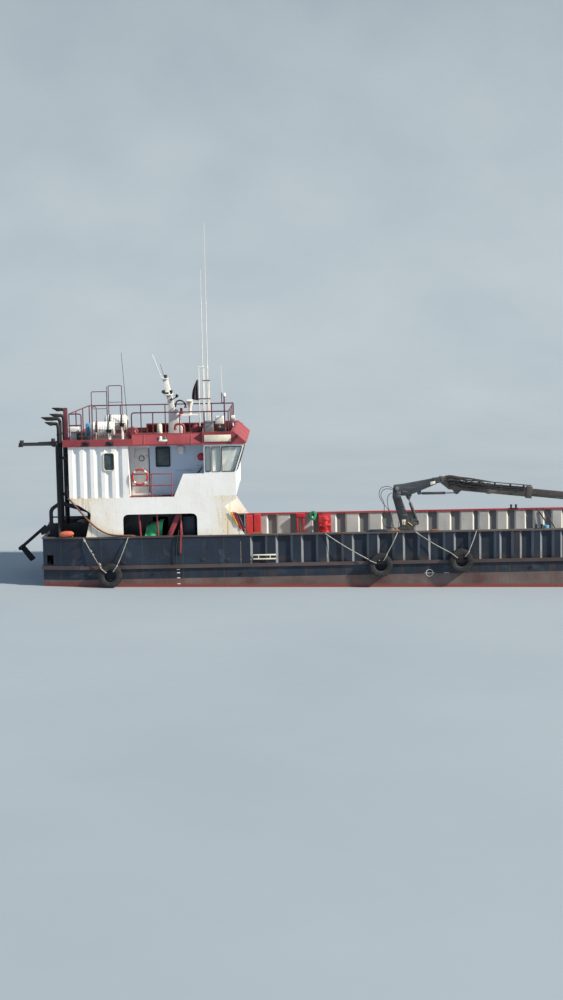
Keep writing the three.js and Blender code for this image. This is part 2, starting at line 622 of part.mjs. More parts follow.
function makeMast() {
  const foot = ROOF_DECK_Z + SEAT_GAP;
  const trunk = [
    [-11780, foot], [-11020, foot], [-11320, 8870], [-11480, 8900], [-11530, 9330], [-11760, 10300],
    [-11990, 10300], [-11790, 9330], [-11740, 8870],
  ];
  return join(
    sidePlate(trunk, -170, 170),
    block(-11900, -11560, -620, 620, 9560, 9620),
    block(-12020, -11720, -150, 150, 10290, 10330),
    block(-11450, -10400, -160, 160, RADAR_AXIS[2] - 60, RADAR_AXIS[2]));
}

// Radar: funnel-shaped gearbox with its array on top
function makeRadar() {
  const [x, y, z] = RADAR_AXIS;
  return join(
    bar([x, y, z + SEAT_GAP], [x, y, z + 300], 70, 12),
    bar([x, y, z + 270], [x, y, z + 610], 75, 16, 165),
    block(x - 150, x + 150, y - 560, y + 560, z + 600, z + 690));
}

function makeAntenna(x, y, top, radius) {
  const foot = ROOF_DECK_Z + SEAT_GAP;
  return join(block(x - 90, x + 90, y - 90, y + 90, foot, foot + 30),
    bar([x, y, foot + 20], [x, y, foot + 2500], radius, 8),
    bar([x, y, foot + 2400], [x, y, top], radius * 0.7, 8, radius * 0.35));
}

// Life raft canister: drum with drawn-in ends, lying fore and aft on a cradle
function makeRaft(x, y, z, radius) {
  const foot = ROOF_DECK_Z + SEAT_GAP;
  const half = 440;
  const end = 90;
  return join(
    bar([x - half, y, z], [x + half, y, z], radius, 16),
    [-1, 1].map((way) =>
      bar([x + way * half, y, z], [x + way * (half + end), y, z], radius, 16, radius - end)),
    [x - 270, x + 270].map((saddle) =>
      block(saddle - 40, saddle + 40, y - 280, y + 280, foot, z - radius * 0.6)),
    block(x - 340, x + 340, y - 240, y + 240, foot, foot + 60));
}

// Mushroom vent: pipe with a domed cap
function makeMushroomVent(x, y, capRadius) {
  const foot = ROOF_DECK_Z + SEAT_GAP;
  return join(
    bar([x, y, foot], [x, y, foot + 420], capRadius * 0.45, 12),
    bar([x, y, foot + 320], [x, y, foot + 560], capRadius, 16),
    bar([x, y, foot + 560], [x, y, foot + 720], capRadius, 16, capRadius * 0.45));
}

function makeGooseneck(x, y) {
  const foot = ROOF_DECK_Z + SEAT_GAP;
  const rise = foot + 620;
  const bendRadius = 200;
  const radius = 55;
  const bend = new THREE.CatmullRomCurve3(spaced([0], [Math.PI], 7).map(([angle]) =>
    new THREE.Vector3(x - bendRadius * (1 - Math.cos(angle)), y, rise + bendRadius * Math.sin(angle))));
  return join(
    bar([x, y, foot], [x, y, rise + 5], radius),
    tube(bend, radius, 8),
    bar([x - 2 * bendRadius, y, rise + 5], [x - 2 * bendRadius, y, rise - 90], radius),
    bar([x, y, foot], [x, y, foot + 30], radius * 2, 12));
}

// Exhaust pipes behind the aft wall: place, height of the elbow, and where its slanted mouth ends
const EXHAUSTS = [
  { x: -16420, y: -1550, z: 9050, mouth: -17020 },
  { x: -16420, y: -2100, z: 8800, mouth: -17060 },
  { x: -16500, y: -2750, z: 8690, mouth: -17350 },
  { x: -16500, y: -3400, z: 8500, mouth: -17100 },
];
const EXHAUST_RADIUS = 75;
const EXHAUST_TIES = [5250, 6900];

function makeExhausts() {
  const elbow = 220;
  const pipes = EXHAUSTS.map(({ x, y, z, mouth }) => join(
    bar([x, y, DECK_Z + SEAT_GAP], [x, y, z - elbow + 5], EXHAUST_RADIUS, 10),
    tube(new THREE.QuadraticBezierCurve3(new THREE.Vector3(x, y, z - elbow), new THREE.Vector3(x, y, z),
      new THREE.Vector3(x - elbow, y, z)), EXHAUST_RADIUS, 5, 10),
    bar([x - elbow + 10, y, z], [mouth, y, z + 60], EXHAUST_RADIUS + 10, 10, 22)));
  const ties = EXHAUST_TIES.map((z) => block(-16500, -16430, -3400, -1550, z, z + 70));
  return join(pipes, ties);
}

// Davit beside the exhausts: fixed post with its pin, and the boom that slews on it
const DAVIT = { x: -16560, y: -3720, z: 7560, reach: 1680, pin: 40, post: 55 };

function makeDavitPost() {
  const { x, y, z, pin, post } = DAVIT;
  return join(
    bar([x, y, DECK_Z + SEAT_GAP], [x, y, z - 60], post, 12),
    block(x - 90, x + 90, y - 90, y + 90, DECK_Z + SEAT_GAP, DECK_Z + 40),
    bar([x, y, z - 70], [x, y, z + 190], pin, 12));
}

function makeDavitBoom() {
  const { x, y, z, reach, pin } = DAVIT;
  const sleeve = cut(bar([x, y, z - 60 + SEAT_GAP], [x, y, z + 150], 85, 16),
    bore([x, y, z - 100], [x, y, z + 250], pin, 12));
  return join(sleeve,
    beam([x - 65, y, z + 60], [x - reach, y, z + 60], 100, 150),
    beam([x - 65, y, z + 120], [x - 800, y, z + 100], 60, 110),
    block(x - reach - 20, x - reach + 180, y - 65, y + 65, z - 60, z + 20));
}

// Stern frame at the starboard side: a hoop over a plate, and a low plate inboard of it
const HOOP_Y = -3050;
const INNER_PLATE_Y = -1150;
const FRAME_PLATE_Z = 3950;
const WINCH = { x: -15800, z: 3560, radius: 300, flange: 440, shaft: 60 };

function makeSternFrame() {
  const foot = DECK_Z + SEAT_GAP;
  const half = 60;
  const hoop = [
    [-17080, foot], [-17080, 4640, 200], [-16560, 4980, 120], [-15150, 4560, 170], [-15330, foot],
  ];
  const gap = [
    [-16920, FRAME_PLATE_Z], [-16920, 4540, 120], [-16540, 4790, 80], [-15330, 4420, 90],
    [-15380, FRAME_PLATE_Z],
  ];
  const low = [
    [-16980, foot], [-16980, 3300, 60], [-16400, FRAME_PLATE_Z, 60], [-15450, FRAME_PLATE_Z, 60],
    [-15350, foot],
  ];
  const outerPlate = join(
    cut(sidePlate(hoop, HOOP_Y - half, HOOP_Y + half), sidePlate(gap, HOOP_Y - 200, HOOP_Y + 200)),
    block(-16950, -15370, HOOP_Y - 35, HOOP_Y + 35, 4210, 4270));
  const innerPlate = sidePlate(low, INNER_PLATE_Y - half, INNER_PLATE_Y + half);
  const cross = [
    beam([-16980, HOOP_Y, 3150], [-16980, INNER_PLATE_Y, 3150], 90, 120),
    beam([-15420, HOOP_Y, 2350], [-15420, INNER_PLATE_Y, 2350], 90, 120),
  ];
  const { x, z, shaft } = WINCH;
  const bearing = bore([x, HOOP_Y - 300, z], [x, INNER_PLATE_Y + 300, z], shaft, 16);
  return cut(join(outerPlate, innerPlate, cross), bearing);
}

function makeWinchDrum() {
  const { x, z, radius, flange, shaft } = WINCH;
  const ends = [HOOP_Y + 110, INNER_PLATE_Y - 110];
  return join(
    bar([x, HOOP_Y - 75, z], [x, INNER_PLATE_Y + 75, z], shaft, 16),
    bar([x, ends[0] + 30, z], [x, ends[1] - 30, z], radius, 20),
    ends.map((y) => bar([x, y - 25, z], [x, y + 25, z], flange, 24)));
}

// Anchor stowed on its roller at the transom
const ROLLER = { x: -17860, z: 3170, radius: 60 };
const SHANK = { slope: 40, half: 75, up: 330, down: 1230 };

function makeAnchorRoller() {
  const { x, z, radius } = ROLLER;
  const edge = [
    [-16900, RAIL_Z + SEAT_GAP], [-17400, RAIL_Z + SEAT_GAP], [-17400, 3330], [-17500, 3200],
    [x - 30, z - 110, 60], [x - 90, z + 80, 60], [-17620, 3520], [-16900, 3540],
  ];
  const cheeks = SIDES.map((side) => sidePlate(edge, side * 150, side * 190));
  return join(cheeks,
    block(-17500, -16900, -190, 190, RAIL_Z + SEAT_GAP, RAIL_Z + 30),
    bar([x, -160, z], [x, 160, z], radius, 18));
}

function makeAnchor() {
  const angle = radians(SHANK.slope);
  const along = [-Math.cos(angle), -Math.sin(angle)];
  const off = ROLLER.radius + SEAT_GAP + SHANK.half;
  const origin = [ROLLER.x - Math.sin(angle) * off, ROLLER.z + Math.cos(angle) * off];
  const at = (distance) => [origin[0] + along[0] * distance, 0, origin[1] + along[1] * distance];
  const [cx, , cz] = at(SHANK.down);
  const flukes = SIDES.map((side) => sidePlate([
    [cx - 80, cz + 60], [cx + 90, cz + 90], [cx + 620, cz - 560], [cx + 440, cz - 640],
  ], side * 150, side * 260));
  return join(beam(at(-SHANK.up), at(SHANK.down), 110, SHANK.half * 2),
    bar([cx, -400, cz], [cx, 400, cz], 95, 10), flukes);
}

// Tyre fenders hung flat against the rub rail: stations, with the height of the centre
const TYRES = [
  { x: -14250, z: 1700 },
  { x: -2140, z: 1960 },
  { x: 1470, z: 2090 },
];
const TYRE = { outer: 535, inner: 260, width: 270 };

function makeTyre({ x, z }, side) {
  const { outer, inner, width } = TYRE;
  const profile = [
    [inner, -width * 0.36], [inner + 90, -width / 2], [outer - 80, -width / 2], [outer, -width * 0.33],
    [outer, width * 0.33], [outer - 80, width / 2], [inner + 90, width / 2], [inner, width * 0.36],
    [inner, -width * 0.36],
  ].map(([radius, height]) => new THREE.Vector2(radius, height));
  const geometry = new THREE.LatheGeometry(profile, 20);
  geometry.translate(x, side * (HALF_BEAM + 75 + SEAT_GAP + width / 2), z);
  return solid(geometry);
}

// Crane pieces, in their place at rest
const BOOM_PIN = 55;
const KNUCKLE_PIN = 45;
const inCrane = ([x, z], shift = 0) => [x, CRANE_Y + shift, z];

function makeCraneBase() {
  return join(
    block(CRANE_X - 450, CRANE_X + 450, CRANE_Y - 430, CRANE_Y + 430, DECK_Z + SEAT_GAP, DECK_Z + 90),
    bar([CRANE_X, CRANE_Y, DECK_Z + 60], [CRANE_X, CRANE_Y, CRANE_BASE_TOP_Z], 330, 20),
    block(CRANE_X - 300, CRANE_X + 300, CRANE_Y - 300, CRANE_Y + 300, DECK_Z + 60, DECK_Z + 420));
}

function makeCraneColumn() {
  const foot = CRANE_BASE_TOP_Z + SEAT_GAP;
  const [px, pz] = BOOM_PIVOT;
  const [lx, lz] = LIFT_BASE;
  const trunk = [
    [CRANE_X - 260, foot + 200], [CRANE_X + 260, foot + 200], [CRANE_X + 250, 3500], [px + 190, pz - 420],
    [px - 190, pz - 420], [CRANE_X - 250, 3500],
  ];
  const ears = [
    [px - 190, pz - 470], [px + 190, pz - 470], [px + 130, pz + 130, 90], [px - 130, pz + 130, 90],
  ];
  const cheeks = SIDES.flatMap((side) => [
    sidePlate(ears, CRANE_Y + side * 150, CRANE_Y + side * 195),
    sidePlate([[CRANE_X + 100, 3500], [CRANE_X + 200, 4000], [lx + 60, lz + 90, 50], [lx + 80, lz - 90, 50]],
      CRANE_Y + side * 85, CRANE_Y + side * 120),
  ]);
  const seat = block(px - 190, px + 190, CRANE_Y - 195, CRANE_Y + 195, pz - 480, pz - 400);
  return cut(join(
    bar([CRANE_X, CRANE_Y, foot], [CRANE_X, CRANE_Y, foot + 260], 340, 20),
    sidePlate(trunk, CRANE_Y - 150, CRANE_Y + 150), seat, cheeks),
  bore(inCrane(BOOM_PIVOT, -300), inCrane(BOOM_PIVOT, 300), BOOM_PIN, 16),
  bore(inCrane(LIFT_BASE, -300), inCrane(LIFT_BASE, 300), CYLINDER_PIN, 12));
}

function makeMainBoom() {
  const [px, pz] = BOOM_PIVOT;
  const [kx, kz] = KNUCKLE_PIVOT;
  const web = [
    [px - 130, pz - 150, 60], [px + 80, pz - 350, 60], [px + 530, pz - 350], [kx - 250, kz - 210],
    [kx - 250, kz + 60], [px + 300, pz + 170], [px - 130, pz + 130, 80],
  ];
  const cheek = [
    [kx - 420, kz - 210], [kx + 120, kz - 120, 70], [kx + 130, kz + 100, 70], [kx - 420, kz + 50],
  ];
  const lug = ([x, z], top) => join(SIDES.map((side) => sidePlate(
    [[x - 150, top], [x + 150, top], [x + 55, z - 55, 40], [x - 55, z - 55, 40]],
    CRANE_Y + side * 52, CRANE_Y + side * 78)));
  return cut(
    join(
      sidePlate(web, CRANE_Y - 140, CRANE_Y + 140),
      SIDES.map((side) => sidePlate(cheek, CRANE_Y + side * 110, CRANE_Y + side * 145)),
      block(kx - 420, kx - 240, CRANE_Y - 145, CRANE_Y + 145, kz - 150, kz + 40),
      lug(LIFT_EYE, pz - 330), lug(KNUCKLE_BASE, pz + 20),
      bar(inCrane(BOOM_PIVOT, -220), inCrane(BOOM_PIVOT, 220), BOOM_PIN, 16)),
    bore(inCrane(KNUCKLE_PIVOT, -300), inCrane(KNUCKLE_PIVOT, 300), KNUCKLE_PIN, 24),
    bore(inCrane(KNUCKLE_BASE, -100), inCrane(KNUCKLE_BASE, 100), CYLINDER_PIN, 12));
}

// The outer boom is built level from the knuckle and then tilted. Its box hangs below the knuckle pin.
const OUTER_TOP = -10;
const OUTER_BOTTOM = -430;
const OUTER_WALL = 25;
const KNUCKLE_EYE = (() => {
  const angle = radians(OUTER_ANGLE);
  const [along, up] = LEVER_EYE;
  return [
    KNUCKLE_PIVOT[0] + along * Math.cos(angle) - up * Math.sin(angle),
    KNUCKLE_PIVOT[1] + along * Math.sin(angle) + up * Math.cos(angle),
  ];
})();

function tiltOuter(geometrySolid) {
  const geometry = geometryOf(geometrySolid);
  geometry.rotateY(radians(-OUTER_ANGLE));
  geometry.translate(KNUCKLE_PIVOT[0], CRANE_Y, KNUCKLE_PIVOT[1]);
  return geometry;
}

function makeOuterBoom() {
  const [eyeX, eyeZ] = LEVER_EYE;
  const floor = OUTER_BOTTOM + OUTER_WALL;
  const root = [
    [-130, -120, 70], [350, OUTER_BOTTOM], [900, OUTER_BOTTOM], [900, OUTER_TOP], [650, 90, 60],
    [-130, 130, 70],
  ];
  const box = block(520, OUTER_LENGTH, -130, 130, OUTER_BOTTOM, OUTER_TOP);
  const hollow = block(960, OUTER_LENGTH + 50, -105, 105, floor, OUTER_TOP - OUTER_WALL);
  const bands = [[2060, 2240, 30], [OUTER_LENGTH - 260, OUTER_LENGTH, 55]].map(([x0, x1, proud]) =>
    block(x0, x1, -130 - proud / 2, 130 + proud / 2, OUTER_BOTTOM - proud, OUTER_TOP + proud));
  const pad = block(OUTER_LENGTH - 140, OUTER_LENGTH, -90, 90, floor - 5, floor + 15 - SEAT_GAP);
  const lever = SIDES.map((side) => sidePlate(
    [
      [eyeX - 190, OUTER_BOTTOM + 5], [eyeX + 210, OUTER_BOTTOM + 5], [eyeX + 55, eyeZ - 55, 40],
      [eyeX - 55, eyeZ - 55, 40],
    ],
    side * 52, side * 78));
  return join(
    sidePlate(root, -100, 100), cut(join(box, bands), hollow), pad, lever,
    bar([0, -170, 0], [0, 170, 0], KNUCKLE_PIN, 24));
}

function makeExtension() {
  const bottom = OUTER_BOTTOM + OUTER_WALL + 15;
  const top = OUTER_TOP - OUTER_WALL - 15;
  const tip = OUTER_LENGTH + EXTENSION_REACH;
  const tongue = [
    [tip - 160, bottom + 20], [tip - 20, bottom + 20], [tip - 50, bottom - 190, 30],
    [tip - 130, bottom - 190, 30],
  ];
  return join(
    block(EXTENSION_ROOT, tip, -100, 100, bottom, top),
    block(tip - 120, tip, -115, 115, bottom - 30, top + 30),
    sidePlate(tongue, -25, 25));
}

// Hydraulic cylinder between two points: barrel with its eye, and rod with its eye
function alongCylinder(base, eye, y) {
  const span = new THREE.Vector2(eye[0] - base[0], eye[1] - base[1]);
  const unit = span.clone().normalize();
  const at = (distance) => [base[0] + unit.x * distance, y, base[1] + unit.y * distance];
  return { length: span.length(), at };
}

function makeBarrel(base, eye, y, radius, reach) {
  const { at } = alongCylinder(base, eye, y);
  const half = radius * 0.6;
  const [x, z] = base;
  return join(
    cut(bar(at(150), at(reach), radius, 14), bore(at(220), at(reach + 50), radius * 0.55, 12)),
    beam(at(0), at(170), half * 2, radius * 1.3),
    bar([x, y - half, z], [x, y + half, z], radius * 0.9, 14),
    bar([x, y - radius - 30, z], [x, y + radius + 30, z], CYLINDER_PIN, 12));
}

function makeRod(base, eye, y, radius, start) {
  const { at, length } = alongCylinder(base, eye, y);
  const half = radius * 0.6;
  const [x, z] = eye;
  return join(
    bar(at(start), at(length - radius * 0.4), radius * 0.55, 12),
    bar([x, y - half, z], [x, y + half, z], radius * 0.9, 14));
}

// Bow ramp, built lying forward from its hinge and then raised
function makeRamp() {
  const w = RAMP_HALF_WIDTH;
  const deck = block(90, RAMP_LENGTH, -w, w, 20, 50);
  const sideBeams = SIDES.map((side) => block(90, RAMP_LENGTH, side * w, side * (w - 90), -110, 110));
  const ribs = [-1400, 0, 1400].map((y) => block(90, RAMP_LENGTH, y - 40, y + 40, -110, 30));
  const crossRibs = [120, 1400, 2700, RAMP_LENGTH - 60].map((x) => block(x, x + 60, -w, w, -90, 30));
  const treads = spaced([500], [RAMP_LENGTH - 300], 9).map(([x]) =>
    block(x, x + 40, -w + 200, w - 200, 45, 75));
  const lugEdges = RAMP_LUGS_Y.flatMap((y) => [y - RAMP_LUG_HALF - 10, y + RAMP_LUG_HALF + 10]);
  const pinSpans = [-w, ...lugEdges, w].reduce((spans, edge, index, edges) =>
    (index % 2 === 0 ? [...spans, [edge, edges[index + 1]]] : spans), []);
  const knuckles = pinSpans.map(([y0, y1]) => join(
    bar([0, y0, 0], [0, y1, 0], 85, 14), block(0, 130, y0, y1, -60, 40)));
  const lugs = SIDES.map((side) => sidePlate(
    [
      [RAMP_EYE_REACH - 170, 40], [RAMP_EYE_REACH + 170, 40], [RAMP_EYE_REACH + 60, 170, 50],
      [RAMP_EYE_REACH - 60, 170, 50],
    ],
    side * w, side * (w + 195)));
  return join(deck, sideBeams, ribs, crossRibs, treads, knuckles, lugs,
    bar([0, -w, 0], [0, w, 0], RAMP_PIN_RADIUS, 16));
}

// Where the ramp's lug carries the rod eye, at rest
const RAMP_EYE = (() => {
  const angle = radians(RAMP_ANGLE);
  const lift = 110;
  return [
    RAMP_HINGE_X + RAMP_EYE_REACH * Math.cos(angle) - lift * Math.sin(angle),
    RAMP_HINGE_Z + RAMP_EYE_REACH * Math.sin(angle) + lift * Math.cos(angle),
  ];
})();

function makePropeller(side) {
  const y = side * SCREW_Y;
  const blades = [0, 1, 2, 3].map((index) => {
    const blade = new THREE.BoxGeometry(26, 250, SCREW_RADIUS - 60);
    blade.rotateZ(radians(side * 32));
    blade.translate(0, 0, (SCREW_RADIUS + 60) / 2);
    blade.rotateX(Math.PI / 2 * index);
    blade.translate(SCREW_X, y, SCREW_Z);
    return solid(blade);
  });
  return join(
    bar([SCREW_X + 110 - SEAT_GAP, y, SCREW_Z], [SCREW_X - 130, y, SCREW_Z], 95, 16),
    bar([SCREW_X - 120, y, SCREW_Z], [SCREW_X - 240, y, SCREW_Z], 95, 16, 30),
    bar([SCREW_X + 380, y, SCREW_Z], [SCREW_X, y, SCREW_Z], SHAFT_RADIUS, 12), blades);
}

function makeRudder(side) {
  const y = side * SCREW_Y;
  const tail = RUDDER_X - 520;
  const nose = RUDDER_X + 200;
  const blade = [
    [tail, y - 34], [RUDDER_X, y - 45], [nose, y - 20], [nose, y + 20], [RUDDER_X, y + 45], [tail, y + 34],
  ];
  return join(planPlate(blade, 90, 720), bar([RUDDER_X, y, 600], [RUDDER_X, y, 775 - SEAT_GAP], 60, 14));
}

// Stair in the starboard gallery: two stringers and treads
function makeStair() {
  const foot = [-12150, DECK_Z + 60];
  const head = [-10850, BOAT_DECK_Z - BOAT_DECK_THICKNESS - 70];
  const stringers = [-3960, -3320].map((y) => beam([foot[0], y, foot[1]], [head[0], y, head[1]], 40, 220));
  const treads = spaced(foot, head, 11).slice(1, -1).map(([x, z]) =>
    block(x - 110, x + 110, -3970, -3310, z, z + 35));
  const shoe = block(foot[0] - 150, foot[0] + 250, -3980, -3300, DECK_Z + SEAT_GAP, DECK_Z + 60);
  const under = block(-20000, 0, -5000, 5000, 0, DECK_Z + SEAT_GAP);
  return cut(join(stringers, treads, shoe), under);
}

// Everything the part shows, with its colour and surface
const PAINT = {
  navy: { color: 0x1f2a36, roughness: 0.7 },
  bottom: { color: 0x6a2f2b, roughness: 0.8 },
  white: { color: 0xe8e4da, roughness: 0.6 },
  red: { color: 0xa63a3f, roughness: 0.65 },
  maroon: { color: 0x5a2230, roughness: 0.6 },
  grey: { color: 0x9aa39c, roughness: 0.65 },
  black: { color: 0x17181a, roughness: 0.6 },
  crane: { color: 0x33363a, roughness: 0.55 },
  glass: { color: 0x2b4046, roughness: 0.1 },
  rubber: { color: 0x1a1a1c, roughness: 0.9 },
  chrome: { color: 0xc4c8cc, roughness: 0.2, metalness: 1 },
  bronze: { color: 0x8c6a3a, roughness: 0.4, metalness: 1 },
};

const part = new THREE.Group();

function addNode(name, shape, paint, parent = part) {
  const geometry = shape.isBufferGeometry ? shape : geometryOf(shape);
  const mesh = new THREE.Mesh(geometry, new THREE.MeshStandardMaterial(PAINT[paint]));
  mesh.name = name;
  parent.add(mesh);
  return mesh;
}

addNode('hull', join(fitRampHinge(makeHull()), makeRampBrackets()), 'navy');
addNode('rub_rail', makeRubRail(), 'bottom');
addNode('stern_bulwark', makeSternBulwark(), 'navy');
for (const side of SIDES) {
  const name = SIDE_NAMES[side];
  addNode(`bulwark_${name}`, makeBulwark(side), 'grey');
  addNode(`side_plating_${name}`, makeSidePlating(side), 'white');
  addNode(`door_${name}`, makeDoor(side), 'white');
  addNode(`side_rail_${name}`, makeSideRail(side), 'red');
  addNode(`propeller_${name}`, makePropeller(side), 'bronze');
  addNode(`rudder_${name}`, makeRudder(side), 'bottom');
  TYRES.forEach((place, index) => addNode(`tyre_${name}_${index + 1}`, makeTyre(place, side), 'rubber'));
  const y = side * RAMP_CYLINDER_Y;
  addNode(`ramp_barrel_${name}`, makeBarrel(RAMP_CYLINDER_BASE, RAMP_EYE, y, 75, 1850), 'crane');
  addNode(`ramp_rod_${name}`, makeRod(RAMP_CYLINDER_BASE, RAMP_EYE, y, 75, 600), 'chrome');
}
addNode('lower_house', makeLowerHouse(), 'white');
addNode('boat_deck', makeBoatDeck(), 'red');
addNode('upper_house', makeUpperHouse(), 'white');
addNode('wheelhouse', makeWheelhouse(), 'white');
addNode('wheelhouse_glass', makeWheelhouseGlass(), 'glass');
addNode('roof', makeRoof(), 'red');
addNode('roof_rails', makeRoofRails(), 'maroon');
addNode('mast', makeMast(), 'white');
addNode('radar', makeRadar(), 'white');
addNode('antenna_tall', makeAntenna(-9820, -1500, 17420, 32), 'white');
addNode('antenna_short', makeAntenna(-10150, 900, 15430, 24), 'white');
addNode('raft_aft', makeRaft(-14510, -3200, 8220, 330), 'white');
addNode('raft_fore', makeRaft(-14070, -1500, 8400, 360), 'white');
addNode('vent_aft', makeMushroomVent(-13180, -3300, 290), 'red');
addNode('vent_fore', makeMushroomVent(-10360, -2400, 220), 'red');
addNode('gooseneck', makeGooseneck(-10850, -3300), 'red');
addNode('exhausts', makeExhausts(), 'black');
addNode('davit_post', makeDavitPost(), 'black');
addNode('davit_boom', makeDavitBoom(), 'black');
addNode('stern_frame', makeSternFrame(), 'black');
addNode('winch_drum', makeWinchDrum(), 'black');
addNode('anchor_roller', makeAnchorRoller(), 'black');
addNode('anchor', makeAnchor(), 'black');
addNode('stair', makeStair(), 'red');

addNode('crane_base', makeCraneBase(), 'crane');
addNode('crane_column', makeCraneColumn(), 'crane');
addNode('crane_main_boom', makeMainBoom(), 'crane');
addNode('crane_outer_boom', tiltOuter(makeOuterBoom()), 'crane');
addNode('crane_extension', tiltOuter(makeExtension()), 'crane');
addNode('crane_lift_barrel', makeBarrel(LIFT_BASE, LIFT_EYE, CRANE_Y, 72, 940), 'crane');
addNode('crane_lift_rod', makeRod(LIFT_BASE, LIFT_EYE, CRANE_Y, 72, 330), 'chrome');
addNode('crane_knuckle_barrel', makeBarrel(KNUCKLE_BASE, KNUCKLE_EYE, CRANE_Y, 60, 1180), 'crane');
addNode('crane_knuckle_rod', makeRod(KNUCKLE_BASE, KNUCKLE_EYE, CRANE_Y, 60, 700), 'chrome');

const rampGroup = new THREE.Group();
rampGroup.position.set(RAMP_HINGE_X, 0, RAMP_HINGE_Z);
rampGroup.rotation.y = -radians(RAMP_ANGLE);
part.add(rampGroup);
addNode('bow_ramp', makeRamp(), 'grey', rampGroup);

export default part;
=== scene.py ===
"""River barge: finishes, fittings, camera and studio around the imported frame."""

import json
import math

import bpy
from mathutils import Matrix, Vector


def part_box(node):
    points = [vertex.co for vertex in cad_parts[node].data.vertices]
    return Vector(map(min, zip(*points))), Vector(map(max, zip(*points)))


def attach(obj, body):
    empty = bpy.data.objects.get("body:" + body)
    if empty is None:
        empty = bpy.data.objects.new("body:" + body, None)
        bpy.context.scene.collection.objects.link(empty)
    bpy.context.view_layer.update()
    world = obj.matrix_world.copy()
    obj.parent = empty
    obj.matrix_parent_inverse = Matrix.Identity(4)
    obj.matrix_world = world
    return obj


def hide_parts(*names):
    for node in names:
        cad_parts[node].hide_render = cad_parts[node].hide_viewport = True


bl_info = {
    "name": "River barge",
    "version": (1, 0, 0),
    "blender": (4, 5, 0),
    "location": "View3D > Sidebar > Barge",
    "description": "Dresses the packed river barge with its finishes and fittings",
    "category": "Object",
}

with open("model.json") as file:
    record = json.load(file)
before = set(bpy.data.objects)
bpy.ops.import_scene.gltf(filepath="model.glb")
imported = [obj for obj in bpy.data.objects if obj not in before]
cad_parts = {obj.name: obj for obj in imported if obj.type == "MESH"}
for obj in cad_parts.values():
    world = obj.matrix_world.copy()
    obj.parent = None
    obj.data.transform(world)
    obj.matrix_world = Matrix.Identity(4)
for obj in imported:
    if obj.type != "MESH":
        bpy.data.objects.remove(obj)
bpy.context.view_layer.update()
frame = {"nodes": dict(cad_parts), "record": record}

# Heights and planes of the ship, in metres, +X forward and +Y to port
DECK_Z = 2.1
RAIL_Z = 3.43
ROOF_DECK_Z = 7.56
RECESS_Y = 3.2
ON_DECK_Z = DECK_Z + 0.001
ON_RAIL_Z = RAIL_Z + 0.0005
BOOT_TOP_Z = 1.5
SIDES = (("starboard", -1), ("port", 1))

# The barge floats a little by the stern: its trim, and where the water cuts the hull amidships
TRIM = math.radians(1.1)
DRAFT = 0.885


def linear(code):
    """Linear colour of an sRGB hex value such as #a0b1c2."""
    parts = [int(code[place : place + 2], 16) / 255 for place in (1, 3, 5)]
    return [p / 12.92 if p <= 0.04045 else ((p + 0.055) / 1.055) ** 2.4 for p in parts]


def rgba(colour):
    """A colour with full opacity, as a node's socket takes it; a hex value is turned to linear."""
    parts = linear(colour) if isinstance(colour, str) else colour
    return (*parts[:3], 1)


def colour_choice(name, code, description):
    """One colour that the user can change."""
    return bpy.props.FloatVectorProperty(
        name=name, description=description, subtype="COLOR", size=3, min=0, max=1, default=linear(code)
    )


def length_choice(name, metres, description):
    """One length that the user can change."""
    return bpy.props.FloatProperty(
        name=name, description=description, subtype="DISTANCE", unit="LENGTH", min=0, default=metres
    )


class BargePaint(bpy.types.PropertyGroup):
    """Colours of the barge's finishes."""

    topside: colour_choice("Topside", "#0a1828", "Hull above the boot-top, sun-bleached navy")
    boot_top: colour_choice("Boot-top", "#4d3835", "Band above the water, faded red-brown")
    bottom: colour_choice("Bottom", "#7c2c28", "Antifouling paint under water")
    inside: colour_choice("Bulwark inside", "#9ca1a4", "Grey inner face of the bulwarks")
    deck: colour_choice("Deck", "#5d5450", "Worn deck paint with rust in it")
    white: colour_choice("House white", "#e6e6e2", "Enamel of the house and wheelhouse")
    cream: colour_choice("Yellowed white", "#dccfae", "House enamel low down, yellowed by rust")
    red: colour_choice("Roof red", "#7c2a33", "Roof edge, vents and deck rails")
    signal: colour_choice("Signal red", "#a3202b", "Lockers, gallery posts and lifebuoys")
    maroon: colour_choice("Rail maroon", "#4f1d2b", "Rails on the roof")
    black: colour_choice("Black", "#121317", "Exhausts, davit and stern gear")
    crane: colour_choice("Crane grey", "#2b2f34", "Crane column and main boom")
    boom: colour_choice("Boom brown", "#46413d", "Outer boom and extension, weathered")
    rust: colour_choice("Rust", "#553423", "Rust at edges and below fittings")
    glass: colour_choice("Window tint", "#e6f0ec", "Green-grey tint of the wheelhouse panes")
    tarpaulin: colour_choice("Tarpaulin", "#4fd492", "Green tarpaulin in the gallery")
    floor: colour_choice("Floor", "#8996a2", "Studio floor")


class BargeSizes(bpy.types.PropertyGroup):
    """Sizes that the fittings are made to."""

    rope: length_choice("Rope", 0.042, "Diameter of the fender ropes")
    hose: length_choice("Crane hose", 0.026, "Diameter of a hydraulic hose with its sleeve")
    plate: length_choice("Hull plate", 1.83, "Length of one hull plate between its welds")


def paint():
    """The colours as the panel has them."""
    return bpy.context.scene.barge_paint


def sizes():
    """The sizes as the panel has them."""
    return bpy.context.scene.barge_sizes


# Materials
def add_node(tree, kind, sockets=None, **settings):
    """One node with its settings; each socket gets a value or the output that feeds it."""
    made = tree.nodes.new(kind)
    for name, value in settings.items():
        setattr(made, name, value)
    for socket, value in (sockets or {}).items():
        if isinstance(value, bpy.types.NodeSocket):
            tree.links.new(value, made.inputs[socket])
        else:
            made.inputs[socket].default_value = value
    return made


